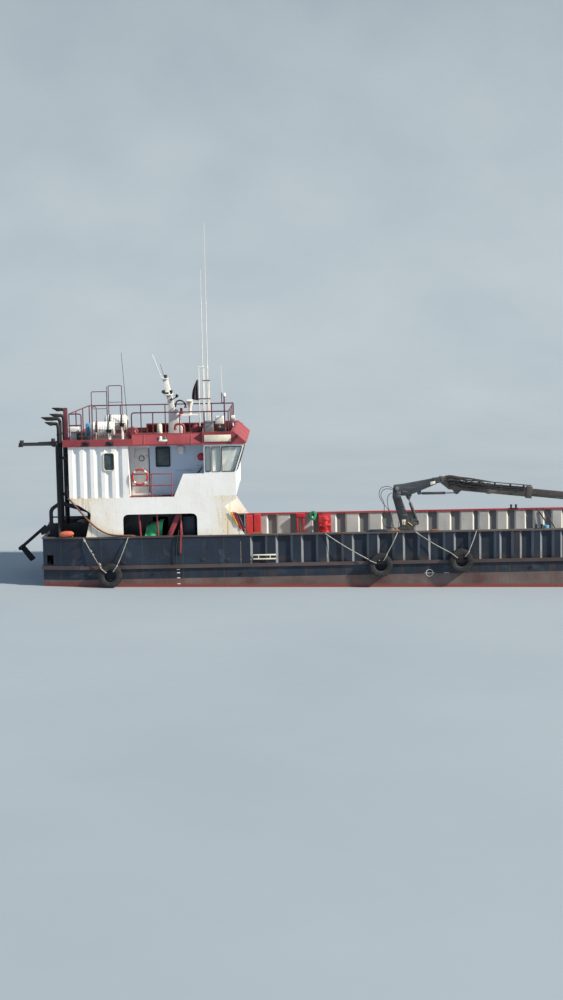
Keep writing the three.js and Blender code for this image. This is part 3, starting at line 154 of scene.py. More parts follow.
def start_material(name):
    """An empty material with its shader: itself, the shader and the object coordinates."""
    material = bpy.data.materials.new(name)
    material.use_nodes = True
    tree = material.node_tree
    tree.nodes.clear()
    shader = add_node(tree, "ShaderNodeBsdfPrincipled")
    add_node(tree, "ShaderNodeOutputMaterial", {"Surface": shader.outputs["BSDF"]})
    place = add_node(tree, "ShaderNodeTexCoord").outputs["Object"]
    return material, shader, place


def coat(under, over, *shares):
    """Colour of one coat over another that covers by the product of the shares."""
    cover = shares[0]
    tree = cover.id_data
    for share in shares[1:]:
        cover = add_node(tree, "ShaderNodeMath", {0: cover, 1: share}, operation="MULTIPLY").outputs[0]
    ends = [c if isinstance(c, bpy.types.NodeSocket) else rgba(c) for c in (under, over)]
    return add_node(tree, "ShaderNodeMix", {0: cover, 6: ends[0], 7: ends[1]}, data_type="RGBA").outputs[2]


def along(vector, axis, start, end):
    """Share that goes from 0 to 1 as one coordinate of a vector goes from start to end."""
    tree = vector.id_data
    part = add_node(tree, "ShaderNodeSeparateXYZ", {"Vector": vector}).outputs[axis]
    spread = {"Value": part, "From Min": start, "From Max": end}
    return add_node(tree, "ShaderNodeMapRange", spread).outputs[0]


def patches(place, size, low, high, stretch=(1, 1, 1), detail=4):
    """Share from 0 to 1 in patches of about a size in metres, squeezed along an axis."""
    tree = place.id_data
    moved = add_node(tree, "ShaderNodeMapping", {"Vector": place, "Scale": stretch}).outputs[0]
    noise = add_node(tree, "ShaderNodeTexNoise", {"Vector": moved, "Scale": 0.5 / size, "Detail": detail})
    spread = {"Value": noise.outputs["Fac"], "From Min": low, "From Max": high}
    return add_node(tree, "ShaderNodeMapRange", spread).outputs[0]


def wavering(place, size, reach):
    """Coordinates pushed about, so that a painted edge isn't ruled."""
    tree = place.id_data
    noise = add_node(tree, "ShaderNodeTexNoise", {"Vector": place, "Scale": 0.5 / size}).outputs["Color"]
    centred = add_node(tree, "ShaderNodeVectorMath", {0: noise, 1: (0.5, 0.5, 0.5)}, operation="SUBTRACT")
    pushed = {0: centred.outputs[0], 1: (reach, reach, reach), 2: place}
    return add_node(tree, "ShaderNodeVectorMath", pushed, operation="MULTIPLY_ADD").outputs[0]


def outboard(place):
    """Vector whose Y tells how far a face looks outboard, from -1 to 1, and the face's own normal."""
    tree = place.id_data
    y = add_node(tree, "ShaderNodeSeparateXYZ", {"Vector": place}).outputs[1]
    side = add_node(tree, "ShaderNodeMath", {0: y}, operation="SIGN").outputs[0]
    normal = add_node(tree, "ShaderNodeNewGeometry").outputs["Normal"]
    turned_out = add_node(tree, "ShaderNodeVectorMath", {0: normal, "Scale": side}, operation="SCALE")
    return turned_out.outputs[0], normal


def plate_welds(place, pitch, width=0.03):
    """Share that is 1 on the upright welds between hull plates."""
    tree = place.id_data
    x = add_node(tree, "ShaderNodeSeparateXYZ", {"Vector": place}).outputs[0]
    turn = add_node(tree, "ShaderNodeMath", {0: x, 1: pitch / 2}, operation="PINGPONG").outputs[0]
    seam = {"Value": turn, "From Min": width, "From Max": width * 0.3}
    return add_node(tree, "ShaderNodeMapRange", seam).outputs[0]


def skin(shader, place, colour, roughness, grain=0.03, depth=0.004, metallic=0):
    """Colour, a roughness that wanders between two values, and a fine relief, on the shader."""
    tree = place.id_data
    tree.links.new(colour, shader.inputs["Base Color"])
    shader.inputs["Metallic"].default_value = metallic
    wander = patches(place, 0.3, 0.3, 0.7)
    rough = {"Value": wander, "To Min": roughness[0], "To Max": roughness[1]}
    tree.links.new(add_node(tree, "ShaderNodeMapRange", rough).outputs[0], shader.inputs["Roughness"])
    relief = patches(place, grain, 0.25, 0.75, detail=3)
    bump = add_node(tree, "ShaderNodeBump", {"Height": relief, "Strength": 0.4, "Distance": depth})
    tree.links.new(bump.outputs[0], shader.inputs["Normal"])


def weathered(place, base, faded, rust, amount=0.35, run=0.1):
    """Paint colour with chalky patches, rust that runs down in streaks, and rust freckles."""
    colour = coat(base, faded, patches(place, 0.7, 0.35, 0.65))
    runs = patches(place, run, 0.52, 0.68, stretch=(1, 1, 0.08))
    colour = coat(colour, rust, runs, patches(place, 1.2, 0.42, 0.62), amount)
    return coat(colour, rust, patches(place, 0.05, 0.62, 0.7), min(1, amount * 1.6))


def painted_steel(name, base, faded, amount=0.3, roughness=(0.42, 0.7), grain=0.03, depth=0.004):
    """Brushed alkyd enamel on steel plate.

    The eye sees a satin skin whose colour wanders by a tenth, rust runs about 50 mm wide and freckles.
    """
    material, shader, place = start_material(name)
    colour = weathered(place, base, faded, paint().rust, amount)
    skin(shader, place, colour, roughness, grain, depth)
    return material


def hull_steel():
    """Epoxy-painted shell plate: navy topsides, faded red-brown boot-top, antifouling, worn deck.

    The eye sees plates with upright welds, rub marks, rust below the rub rail, and a redder line where
    the water stands.
    """
    choice = paint()
    material, shader, place = start_material("hull_epoxy_paint")
    tree = place.id_data
    shaken = wavering(place, 0.5, 0.12)
    topside = weathered(place, choice.topside, "#152738", choice.rust, 0.25, 0.16)
    scuffs = patches(place, 0.22, 0.58, 0.7, stretch=(0.4, 1, 1))
    topside = coat(topside, "#4f5c68", scuffs, 0.28)
    runs = patches(place, 0.12, 0.48, 0.66, stretch=(1, 1, 0.1))
    topside = coat(topside, "#47352c", runs, along(shaken, 2, 1.2, 1.72), 0.35)
    band = weathered(place, choice.boot_top, "#67605d", "#84382c", 0.5, 0.14)
    level = {"Vector": shaken, "Angle": -TRIM}
    level = add_node(tree, "ShaderNodeVectorRotate", level, rotation_type="Y_AXIS").outputs[0]
    band = coat(band, "#7d3933", along(level, 2, DRAFT + 0.22, DRAFT + 0.08))
    band = coat(band, choice.bottom, along(level, 2, DRAFT + 0.02, DRAFT - 0.04))
    colour = coat(topside, band, along(place, 2, BOOT_TOP_Z + 0.01, BOOT_TOP_Z - 0.01))
    colour = coat(colour, "#4e4238", plate_welds(place, sizes().plate), 0.45)
    worn = weathered(place, choice.deck, "#746a62", choice.rust, 0.8, 0.3)
    normal = add_node(tree, "ShaderNodeNewGeometry").outputs["Normal"]
    colour = coat(colour, worn, along(normal, 2, 0.6, 0.8), along(place, 2, 2.05, 2.09))
    skin(shader, place, colour, (0.42, 0.75), 0.06, 0.012)
    return material


def bulwark_steel():
    """Pressed corrugated bulwark plate: navy outside, grey inside, cap rail worn to rust.

    The eye sees navy pans outside with paler slopes, part worn paint and part painted highlight; grey
    inside with painted highlight on the slopes and painted shade in the recessed pans; and a dull red rail
    on top.
    """
    choice = paint()
    material, shader, place = start_material("bulwark_alkyd_paint")
    tree = place.id_data
    out, normal = outboard(place)
    lean = add_node(tree, "ShaderNodeVectorMath", {0: normal}, operation="ABSOLUTE").outputs[0]
    # Slopes of the corrugation are made paler: partly worn paint, partly a painted highlight where the sun
    # grazes them
    slope_wear_and_highlight = along(lean, 0, 0.35, 0.5)
    navy = weathered(place, choice.topside, "#102335", choice.rust, 0.25, 0.12)
    navy = coat(navy, "#838c93", slope_wear_and_highlight, 0.62)
    foot = patches(place, 0.25, 0.45, 0.6)
    navy = coat(navy, "#46382f", along(place, 2, 2.5, 2.15), foot, 0.6)
    grey = weathered(place, choice.inside, "#b2b6b7", choice.rust, 0.15, 0.12)
    # Near-white slopes on the inner face: painted highlight
    grey = coat(grey, "#d8dad8", slope_wear_and_highlight, 0.6)
    across = add_node(tree, "ShaderNodeVectorMath", {0: place}, operation="ABSOLUTE").outputs[0]
    # Recessed pans of the inner face, seen from inboard, darkened: painted shade
    grey = coat(grey, "#50585d", along(across, 1, 4.14, 4.17), 0.75)
    colour = coat(grey, navy, along(out, 1, -0.2, 0.2))
    near = weathered(place, "#4a4341", "#5b524e", choice.rust, 0.9, 0.2)
    far = weathered(place, "#8c2630", "#a33a42", choice.rust, 0.3, 0.2)
    cap = coat(near, far, along(place, 1, -0.1, 0.1))
    above = along(place, 2, RAIL_Z + 0.05, RAIL_Z + 0.04)
    colour = coat(colour, cap, along(place, 2, RAIL_Z - 0.075, RAIL_Z - 0.065), above)
    skin(shader, place, colour, (0.45, 0.75), 0.05, 0.006)
    return material


def quarter_steel():
    """Flat bulwark plate at the quarters: brushed navy, scuffed by ropes, brown cap."""
    choice = paint()
    material, shader, place = start_material("quarter_alkyd_paint")
    outside = weathered(place, "#0d1b2a", "#1a2c3e", choice.rust, 0.2, 0.16)
    scuffs = patches(place, 0.3, 0.58, 0.68, stretch=(1, 1, 0.5))
    outside = coat(outside, "#535e69", scuffs, 0.3)
    outside = coat(outside, "#3f444a", plate_welds(place, sizes().plate), 0.35)
    cap = weathered(place, "#453b39", "#585150", choice.rust, 0.8, 0.2)
    colour = coat(outside, cap, along(place, 2, RAIL_Z - 0.075, RAIL_Z - 0.065))
    skin(shader, place, colour, (0.45, 0.72), 0.08, 0.012)
    return material


def house_enamel():
    """White house enamel on light plate.

    The eye sees clean white high up, and yellowed, rust-streaked white aft, low down and under ledges; the
    recess wall forward of the door is blue-grey, painted shade from the wheelhouse and the roof.
    """
    choice = paint()
    material, shader, place = start_material("house_white_enamel")
    tree = place.id_data
    shaken = wavering(place, 0.6, 0.3)
    clean = weathered(place, choice.white, "#eceeee", "#c8b494", 0.12, 0.05)
    yellowed = weathered(place, choice.white, choice.cream, "#a8743f", 0.7, 0.07)
    runs = patches(place, 0.06, 0.54, 0.68, stretch=(1, 1, 0.07))
    yellowed = coat(yellowed, "#9a6a3c", runs, 0.6)
    ends = {
        0: along(shaken, 0, -13.6, -15.2),
        1: along(shaken, 0, -9.8, -9.1),
    }
    ends = add_node(tree, "ShaderNodeMath", ends, operation="MAXIMUM").outputs[0]
    near = {0: ends, 1: along(place, 1, 3.4, 3.2)}
    ends = add_node(tree, "ShaderNodeMath", near, operation="MULTIPLY").outputs[0]
    colour = coat(clean, yellowed, along(shaken, 2, 5.3, 4.4), ends)
    colour = coat(colour, yellowed, along(shaken, 2, 3.75, 3.5), 0.6)
    ledge = along(shaken, 2, 4.7, 5.1)
    colour = coat(colour, yellowed, ledge, along(place, 2, 5.22, 5.18), ends)
    # The recess wall forward of the door is painted blue-grey: painted shade cast by the wheelhouse and the
    # roof over it
    across = add_node(tree, "ShaderNodeVectorMath", {0: place}, operation="ABSOLUTE").outputs[0]
    inner = along(across, 1, 3.23, 3.22)
    colour = coat(colour, "#c3d5e8", inner, along(place, 0, -12.46, -12.44))
    eaves = along(shaken, 2, 7.2, 7.5)
    colour = coat(colour, "#b9a98a", eaves, patches(place, 0.08, 0.45, 0.62, (1, 1, 0.1)), 0.35)
    skin(shader, place, colour, (0.32, 0.55), 0.12, 0.01)
    return material


def gallery_enamel():
    """House enamel inside the galleries, painted near-black for the shade that fills them, and white
    towards the cargo deck.
    """
    material, shader, place = start_material("gallery_enamel")
    # Near-black walls of the galleries: painted shade, with some rust runs
    dark = weathered(place, "#22262a", "#2e3236", paint().rust, 0.4, 0.1)
    white = weathered(place, paint().white, paint().cream, "#a8743f", 0.6, 0.08)
    colour = coat(dark, white, along(place, 0, -9.15, -9.13))
    skin(shader, place, colour, (0.4, 0.6), 0.1, 0.008)
    return material


def roof_paint():
    """Faded red deck paint: chalky outside; dark on the deck and inside the coaming, partly grime and
    partly painted shade.
    """
    choice = paint()
    material, shader, place = start_material("roof_red_alkyd")
    out, normal = outboard(place)
    bright = weathered(place, choice.red, "#96444a", "#5d2c27", 0.35, 0.1)
    grime_and_shade = weathered(place, "#4a2023", "#5d3331", "#33241f", 0.6, 0.3)
    # Inward faces of the coaming and the top of the roof deck go dark: partly grime, partly painted shade
    colour = coat(bright, grime_and_shade, along(out, 1, 0, -0.3), along(place, 2, 8.06, 7.9))
    colour = coat(colour, grime_and_shade, along(normal, 2, 0.8, 0.95), along(place, 2, 7.7, 7.6))
    skin(shader, place, colour, (0.5, 0.8), 0.05, 0.006)
    return material


def sooty_black(name, base, faded):
    """Heat-proof black on pipe: flat, sooty, browner where it has burnt off."""
    material, shader, place = start_material(name)
    colour = weathered(place, base, faded, "#3a2a22", 0.5, 0.08)
    skin(shader, place, colour, (0.55, 0.85), 0.02, 0.003)
    return material


def machine_paint(name, base, faded):
    """Two-pack machinery paint: satin, scuffed to grey along its length, oil-stained round the joints."""
    material, shader, place = start_material(name)
    colour = weathered(place, base, faded, "#5a4335", 0.5, 0.06)
    scratches = patches(place, 0.05, 0.6, 0.68, stretch=(0.15, 1, 1))
    colour = coat(colour, "#8b8d8e", scratches, 0.5)
    colour = coat(colour, "#121214", patches(place, 0.18, 0.58, 0.68), 0.6)
    skin(shader, place, colour, (0.35, 0.6), 0.04, 0.003)
    return material


def tinted_glass():
    """Laminated marine glass, tinted: green-grey, glossy, with a little salt haze."""
    material, shader, place = start_material("laminated_glass")
    colour = coat(paint().glass, "#dce6e3", patches(place, 0.5, 0.35, 0.7))
    skin(shader, place, colour, (0.04, 0.12), 0.3, 0.001)
    shader.inputs["Alpha"].default_value = 0.42
    shader.inputs["IOR"].default_value = 1.5
    return material


def coated_cloth(name, base, fold):
    """PVC-coated polyester tarpaulin: a weak sheen and a basket weave, drawn 20 mm coarse to show."""
    material, shader, place = start_material(name)
    colour = coat(base, fold, patches(place, 0.2, 0.35, 0.65))
    weave = {"Vector": place, "Scale": 15, "Distortion": 1}
    weave = add_node(place.id_data, "ShaderNodeTexWave", weave, bands_direction="DIAGONAL").outputs["Fac"]
    colour = coat(colour, fold, weave, 0.15)
    skin(shader, place, colour, (0.4, 0.6), 0.02, 0.002)
    shader.inputs["Sheen Weight"].default_value = 0.2
    return material


def plain_finish(name, base, second, roughness, grain=0.03, depth=0.002, metallic=0, wear=None):
    """A colour that wanders into a second in hand-sized patches, with specks of wear where given."""
    material, shader, place = start_material(name)
    colour = coat(base, second, patches(place, 0.15, 0.35, 0.65))
    if wear:
        colour = coat(colour, wear, patches(place, 0.04, 0.6, 0.72), 0.7)
    skin(shader, place, colour, roughness, grain, depth, metallic)
    return material


FINISHES = {}


def make_finishes():
    """Every finish by its short name."""
    choice = paint()
    FINISHES.update(
        hull=hull_steel(),
        bulwark=bulwark_steel(),
        quarter=quarter_steel(),
        house=house_enamel(),
        gallery=gallery_enamel(),
        roof=roof_paint(),
        rub=painted_steel("rub_rail_bare_steel", "#3a3435", "#504647", 0.8, depth=0.008),
        red=painted_steel("deck_red_alkyd", choice.red, "#964347", 0.2),
        signal=painted_steel("signal_red_enamel", choice.signal, "#c23a3e", 0.12, (0.3, 0.5)),
        maroon=painted_steel("rail_maroon_alkyd", choice.maroon, "#6d3540", 0.2),
        white=painted_steel("fitting_white_enamel", choice.white, "#d2d4d2", 0.15, (0.3, 0.5)),
        blue=painted_steel("locker_blue_enamel", "#1c2c3a", "#2b3f50", 0.2, (0.35, 0.55)),
        yellow=painted_steel("marking_yellow_enamel", "#d9b324", "#c39c2c", 0.2, (0.35, 0.55)),
        black=sooty_black("heatproof_black", choice.black, "#24262a"),
        gear=sooty_black("gear_black_alkyd", "#15171b", "#2b2d31"),
        crane=machine_paint("machinery_grey", choice.crane, "#40464d"),
        boom=machine_paint("weathered_boom_paint", choice.boom, "#5a534d"),
        glass=tinted_glass(),
        tarpaulin=coated_cloth("pvc_tarpaulin", choice.tarpaulin, "#219a5e"),
        flag=coated_cloth("woven_flag_bunting", "#1b1620", "#3a2a3a"),
        curtain=coated_cloth("lined_curtain_cloth", "#f3eedd", "#d8cfb2"),
        # Hard-chromed, ground steel with a film of oil: bright and faintly ringed
        chrome=plain_finish("hard_chrome", "#c9cccf", "#b4b8bc", (0.12, 0.26), 0.004, 0.0004, 1),
        # Propeller bronze that has stood in water: dull brown-gold with green in the roots
        bronze=plain_finish("cast_bronze", "#8d6a35", "#6b5a3a", (0.35, 0.6), 0.012, 0.002, 0.8, "#5d7a66"),
        # Window glass painted near-black, the shade of the dark cabin behind it, with a sharp gloss
        cabin=plain_finish("cabin_glass", "#2c3a3e", "#47585a", (0.03, 0.1), 0.3, 0.0008),
        # Vulcanised tyre rubber, greyed by sun and salt, with scuffed shoulders
        rubber=plain_finish(
            "vulcanised_rubber", "#17181b", "#2b2d30", (0.7, 0.92), 0.015, 0.004, wear="#575a5c"
        ),
        # Gelcoated glass-fibre moulding: smooth, a little yellowed
        fibre=plain_finish(
            "glass_fibre_gelcoat", "#e4e5e3", "#d5d5cd", (0.25, 0.42), 0.02, 0.001, wear="#b9ae9a"
        ),
        # Three-strand polypropylene rope: furry and grey with age
        rope=plain_finish(
            "polypropylene_rope", "#aeada8", "#807f7b", (0.8, 0.95), 0.006, 0.003, wear="#5e584e"
        ),
        green_rope=plain_finish("green_rope", "#3fae86", "#1d6b50", (0.8, 0.95), 0.006, 0.003),
        # Rubber hose in a woven sleeve: matt red-brown, and matt black for the hydraulics
        hose=plain_finish(
            "delivery_hose_rubber", "#6b463c", "#54362f", (0.7, 0.9), 0.01, 0.002, wear="#8d7568"
        ),
        sleeve=plain_finish("hydraulic_hose_sleeve", "#141518", "#222428", (0.6, 0.85), 0.006, 0.002),
        # Hot-dip galvanised steel, gone grey
        steel=plain_finish(
            "galvanised_steel", "#9ca0a2", "#7f8486", (0.4, 0.6), 0.02, 0.001, 0.7, "#6f6358"
        ),
        dark=plain_finish("moulded_black_plastic", "#141619", "#1f2226", (0.4, 0.6)),
        board=plain_finish("blank_board_enamel", "#e3e0cf", "#cfcab4", (0.4, 0.55)),
        wood=plain_finish("weathered_plywood", "#8a5a3c", "#6b4630", (0.7, 0.9), 0.02, 0.004, 0, "#50372a"),
        orange=plain_finish("buoy_orange_pvc", "#d0704f", "#b5573b", (0.45, 0.65)),
        lamp=plain_finish("lamp_polycarbonate", "#d8dcd6", "#b9bfb8", (0.08, 0.2)),
        green=plain_finish("lamp_green_polycarbonate", "#2c8f60", "#1f7048", (0.08, 0.2)),
        cyan=plain_finish("drum_blue_polyethylene", "#5a96ba", "#47809f", (0.4, 0.55)),
        leather=plain_finish("seat_black_vinyl", "#1b1c1f", "#292a2d", (0.4, 0.6), 0.006, 0.001),
    )


# The CAD nodes that each finish is on, apart from the tyres
FINISH_NODES = {
    "hull": ("hull", "rudder_starboard", "rudder_port"),
    "rub": ("rub_rail",),
    "quarter": ("stern_bulwark",),
    "bulwark": ("bulwark_starboard", "bulwark_port", "bow_ramp"),
    "house": ("side_plating_starboard", "side_plating_port", "upper_house", "wheelhouse"),
    "gallery": ("lower_house",),
    "roof": ("boat_deck", "roof"),
    "glass": ("wheelhouse_glass",),
    "maroon": ("roof_rails",),
    "red": ("side_rail_starboard", "side_rail_port", "vent_aft", "vent_fore", "gooseneck", "stair"),
    "white": ("door_starboard", "door_port", "mast"),
    "fibre": ("radar", "antenna_tall", "antenna_short", "raft_aft", "raft_fore"),
    "black": ("exhausts",),
    "gear": ("davit_post", "davit_boom", "stern_frame", "winch_drum", "anchor_roller", "anchor"),
    "crane": ("crane_base", "crane_column", "crane_main_boom", "crane_lift_barrel", "crane_knuckle_barrel",
              "ramp_barrel_starboard", "ramp_barrel_port"),
    "boom": ("crane_outer_boom", "crane_extension"),
    "chrome": ("crane_lift_rod", "crane_knuckle_rod", "ramp_rod_starboard", "ramp_rod_port"),
    "bronze": ("propeller_starboard", "propeller_port"),
}
NODE_FINISHES = {node: finish for finish, nodes in FINISH_NODES.items() for node in nodes}


def node_finish(name):
    """The finish of a CAD node."""
    return "rubber" if name.startswith("tyre") else NODE_FINISHES[name]


def node_body(node):
    """The body that a CAD node rides on."""
    for body, nodes in frame["record"]["behaviour"]["bodies"].items():
        if node in nodes:
            return body
    raise RuntimeError(f"no body carries {node}")


class BARGE_OT_frame_finishes(bpy.types.Operator):
    """Makes every finish and gives each CAD node its own"""

    bl_idname = "barge.frame_finishes"
    bl_label = "Finishes of the frame"

    def execute(self, context):
        make_finishes()
        for name, node in frame["nodes"].items():
            for place in range(len(node.material_slots)):
                node.material_slots[place].material = FINISHES[node_finish(name)]
        return {"FINISHED"}


# Modelling
def alone(piece):
    """Selects one piece only and makes it the active one."""
    bpy.ops.object.select_all(action="DESELECT")
    piece.select_set(True)
    bpy.context.view_layer.objects.active = piece


def set_down(piece):
    """The piece with its place, turn and size put into its mesh."""
    alone(piece)
    bpy.ops.object.transform_apply(location=True, rotation=True, scale=True)
    return piece


def altered(piece, kind, **settings):
    """The piece with one modifier applied."""
    alone(piece)
    modifier = piece.modifiers.new("Shape", kind)
    for name, value in settings.items():
        setattr(modifier, name, value)
    bpy.ops.object.modifier_apply(modifier=modifier.name)
    return piece


def eased(piece, width, segments=2, angle=40):
    """The piece with its sharp edges rounded."""
    limit = math.radians(angle)
    return altered(piece, "BEVEL", width=width, segments=segments, limit_method="ANGLE", angle_limit=limit)


def cleaned(piece, gap=0.0002):
    """The piece with its doubles merged, loose edges gone and faces turned outwards."""
    alone(piece)
    bpy.ops.object.mode_set(mode="EDIT")
    bpy.ops.mesh.select_all(action="SELECT")
    bpy.ops.mesh.remove_doubles(threshold=gap)
    bpy.ops.mesh.delete_loose()
    bpy.ops.mesh.select_all(action="SELECT")
    bpy.ops.mesh.normals_make_consistent(inside=False)
    bpy.ops.object.mode_set(mode="OBJECT")
    return piece


def slab(one, other, ease=0.012, segments=2):
    """Box between two opposite corners, its edges eased."""
    low, high = [min(pair) for pair in zip(one, other)], [max(pair) for pair in zip(one, other)]
    bpy.ops.mesh.primitive_cube_add(size=1, location=[(a + b) / 2 for a, b in zip(low, high)])
    piece = bpy.context.object
    piece.scale = [b - a for a, b in zip(low, high)]
    set_down(piece)
    return eased(piece, ease, segments) if ease else piece


def rod(start, end, radius, end_radius=None, sides=12, ease=0):
    """Round bar between two points, a cone where its two radii differ."""
    start, end = Vector(start), Vector(end)
    run = end - start
    bpy.ops.mesh.primitive_cone_add(
        vertices=sides,
        radius1=radius,
        radius2=radius if end_radius is None else end_radius,
        depth=run.length,
        location=(start + end) / 2,
        rotation=run.to_track_quat("Z", "Y").to_euler(),
    )
    piece = set_down(bpy.context.object)
    return eased(piece, ease) if ease else piece


def post(x, y, low, high, radius, end_radius=None, sides=12, ease=0):
    """Upright round bar between two heights."""
    return rod((x, y, low), (x, y, high), radius, end_radius, sides, ease)


def circle(count, radius):
    """Points round a circle, as pairs of numbers."""
    angles = [math.tau * step / count for step in range(count)]
    return [(radius * math.cos(angle), radius * math.sin(angle)) for angle in angles]


def disc(radius, height):
    """Profile of a flat disc for lathe."""
    return [(0, 0), (radius, 0), (radius, height), (0, height)]


def rounded(points, reach, steps=4):
    """Path with each corner turned into an arc that starts a reach before it."""
    points = [Vector(p) for p in points]
    path = [points[0]]
    for before, corner, after in zip(points, points[1:], points[2:]):
        first = (before - corner).normalized() * min(reach, (before - corner).length * 0.49)
        last = (after - corner).normalized() * min(reach, (after - corner).length * 0.49)
        for step in range(steps + 1):
            share = step / steps
            path.append(corner + first * (1 - share) ** 2 + last * share**2)
    path.append(points[-1])
    return path


def curve_through(points, radius, sides=8, closed=False):
    """Curve object through points with a round section."""
    bpy.ops.curve.primitive_nurbs_path_add()
    piece = bpy.context.object
    spline = piece.data.splines[0]
    spline.type = "POLY"
    spline.points.add(max(0, len(points) - len(spline.points)))
    for point, place in zip(spline.points, points):
        point.co = (*place, 1)
    spline.use_cyclic_u = closed
    piece.data.bevel_depth = radius
    piece.data.bevel_resolution = max(0, (sides - 4) // 2)
    piece.data.use_fill_caps = not closed
    return piece


def pipe(points, radius, bend=0.06, sides=8, closed=False):
    """Bent pipe through points, as a mesh; a closed one is a ring."""
    if closed:
        path = rounded([*points, points[0], points[1]], bend)[1:] if bend else points
        path = path[5:] if bend else path
    else:
        path = rounded(points, bend) if bend else points
    while len(path) < 5:
        path = [path[0], (Vector(path[0]) + Vector(path[1])) / 2, *path[1:]]
    piece = curve_through(path, radius, sides, closed)
    alone(piece)
    bpy.ops.object.convert(target="MESH")
    return cleaned(bpy.context.object, 0.0001)


def lathe(profile, foot, axis=(0, 0, 1), steps=28):
    """Body turned about an axis through its foot; the profile is a ring of radius and height pairs."""
    bpy.ops.mesh.primitive_circle_add(vertices=len(profile))
    piece = bpy.context.object
    for vertex, (radius, height) in zip(piece.data.vertices, profile):
        vertex.co = (radius, 0, height)
    settings = {"steps": steps, "render_steps": steps}
    altered(piece, "SCREW", use_merge_vertices=True, merge_threshold=0.0004, **settings)
    cleaned(piece)
    piece.rotation_euler = Vector(axis).to_track_quat("Z", "Y").to_euler()
    piece.location = foot
    return set_down(piece)


def plate(outline, low, high, across=1, ease=0.006, segments=2):
    """Plate between two planes across an axis, from the outline in the other two coordinates."""
    bpy.ops.mesh.primitive_circle_add(vertices=len(outline), fill_type="NGON")
    piece = bpy.context.object
    others = [axis for axis in range(3) if axis != across]
    for vertex, pair in zip(piece.data.vertices, outline):
        vertex.co[others[0]], vertex.co[others[1]] = pair
        vertex.co[across] = low
    shift = [0, 0, 0]
    shift[across] = high - low
    bpy.ops.object.mode_set(mode="EDIT")
    bpy.ops.mesh.select_all(action="SELECT")
    bpy.ops.mesh.extrude_region_move(TRANSFORM_OT_translate={"value": shift})
    bpy.ops.object.mode_set(mode="OBJECT")
    cleaned(piece)
    return eased(piece, ease, segments) if ease else piece


def round_cornered(low, high, radius, steps=4):
    """Outline of a rectangle with round corners, from its lowest and highest corner."""
    outline = []
    for turn, (across, up) in enumerate(((1, 1), (0, 1), (0, 0), (1, 0))):
        centre = (
            (high[0] - radius) if across else (low[0] + radius),
            (high[1] - radius) if up else (low[1] + radius),
        )
        for step in range(steps + 1):
            angle = math.radians(90 * turn + 90 * step / steps)
            outline.append((centre[0] + radius * math.cos(angle), centre[1] + radius * math.sin(angle)))
    return outline


def joined(pieces):
    """Several pieces as one object."""
    alone(pieces[0])
    for piece in pieces[1:]:
        piece.select_set(True)
    if len(pieces) > 1:
        bpy.ops.object.join()
    return pieces[0]


def copied(piece, shift=(0, 0, 0), turn=None):
    """Copy with its own mesh, turned about the origin and then moved."""
    copy = piece.copy()
    copy.data = piece.data.copy()
    bpy.context.scene.collection.objects.link(copy)
    matrix = Matrix.Translation(shift) @ (turn or Matrix())
    copy.data.transform(matrix)
    if matrix.determinant() < 0:
        copy.data.flip_normals()
    return copy


def mirrored(piece):
    """Copy at the other side of the ship."""
    return copied(piece, turn=Matrix.Scale(-1, 4, (0, 1, 0)))


def dressed(piece, name, finish, body):
    """The piece with its name and finish, riding on a body."""
    piece.name = name
    piece.data.materials.clear()
    piece.data.materials.append(FINISHES[finish])
    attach(piece, body)
    return piece


def finished(pieces, name, finish, body="hull", angle=35):
    """One piece or several as one object, smoothed and dressed."""
    piece = joined(pieces) if isinstance(pieces, list) else pieces
    piece.data.name = name
    set_down(piece)
    bpy.ops.object.shade_smooth_by_angle(angle=math.radians(angle))
    return dressed(piece, name, finish, body)


def refined(node, width=0.006, segments=2, angle=30, finish=None, smooth=35):
    """Eased copy of a CAD node, which stands in for it."""
    piece = bpy.data.objects.new(f"{node}_dressed", frame["nodes"][node].data.copy())
    bpy.context.scene.collection.objects.link(piece)
    cleaned(piece)
    bpy.ops.object.mode_set(mode="EDIT")
    bpy.ops.mesh.select_all(action="SELECT")
    bpy.ops.mesh.dissolve_limited(angle_limit=math.radians(1.5))
    bpy.ops.object.mode_set(mode="OBJECT")
    eased(piece, width, segments, angle)
    finished(piece, f"{node}_dressed", finish or node_finish(node), node_body(node), smooth)
    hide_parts(node)
    return piece


def smoothed(points, steps=6):
    """Points of a smooth curve that passes through the given ones."""
    points = [Vector(p) for p in points]
    line = [points[0] * 2 - points[1], *points, points[-1] * 2 - points[-2]]
    path = []
    for a, b, c, d in zip(line, line[1:], line[2:], line[3:]):
        for step in range(steps):
            t = step / steps
            square = 2 * a - 5 * b + 4 * c - d
            cube = 3 * b - a - 3 * c + d
            path.append(0.5 * (2 * b + (c - a) * t + square * t**2 + cube * t**3))
    return [*path, points[-1]]


def line_length(path):
    """Length along a path."""
    return sum((b - a).length for a, b in zip(path, path[1:]))


def laid_cord(
    name, points, diameter, finish, body="hull", steps=6,
):
    """Rope or hose through points, as a round curve; its end fittings are separate pieces."""
    path = smoothed(points, steps)
    piece = dressed(curve_through(path, diameter / 2), name, finish, body)
    tuple(path[0])
    round(line_length(path), 2)
    return piece


# Fender tyres: middle in X and Z, for each side
TYRE_PLACES = ((-14.25, 1.7), (-2.14, 1.96), (1.47, 2.09))
TYRE_Y = 4.41
TYRE_LUGS = 30


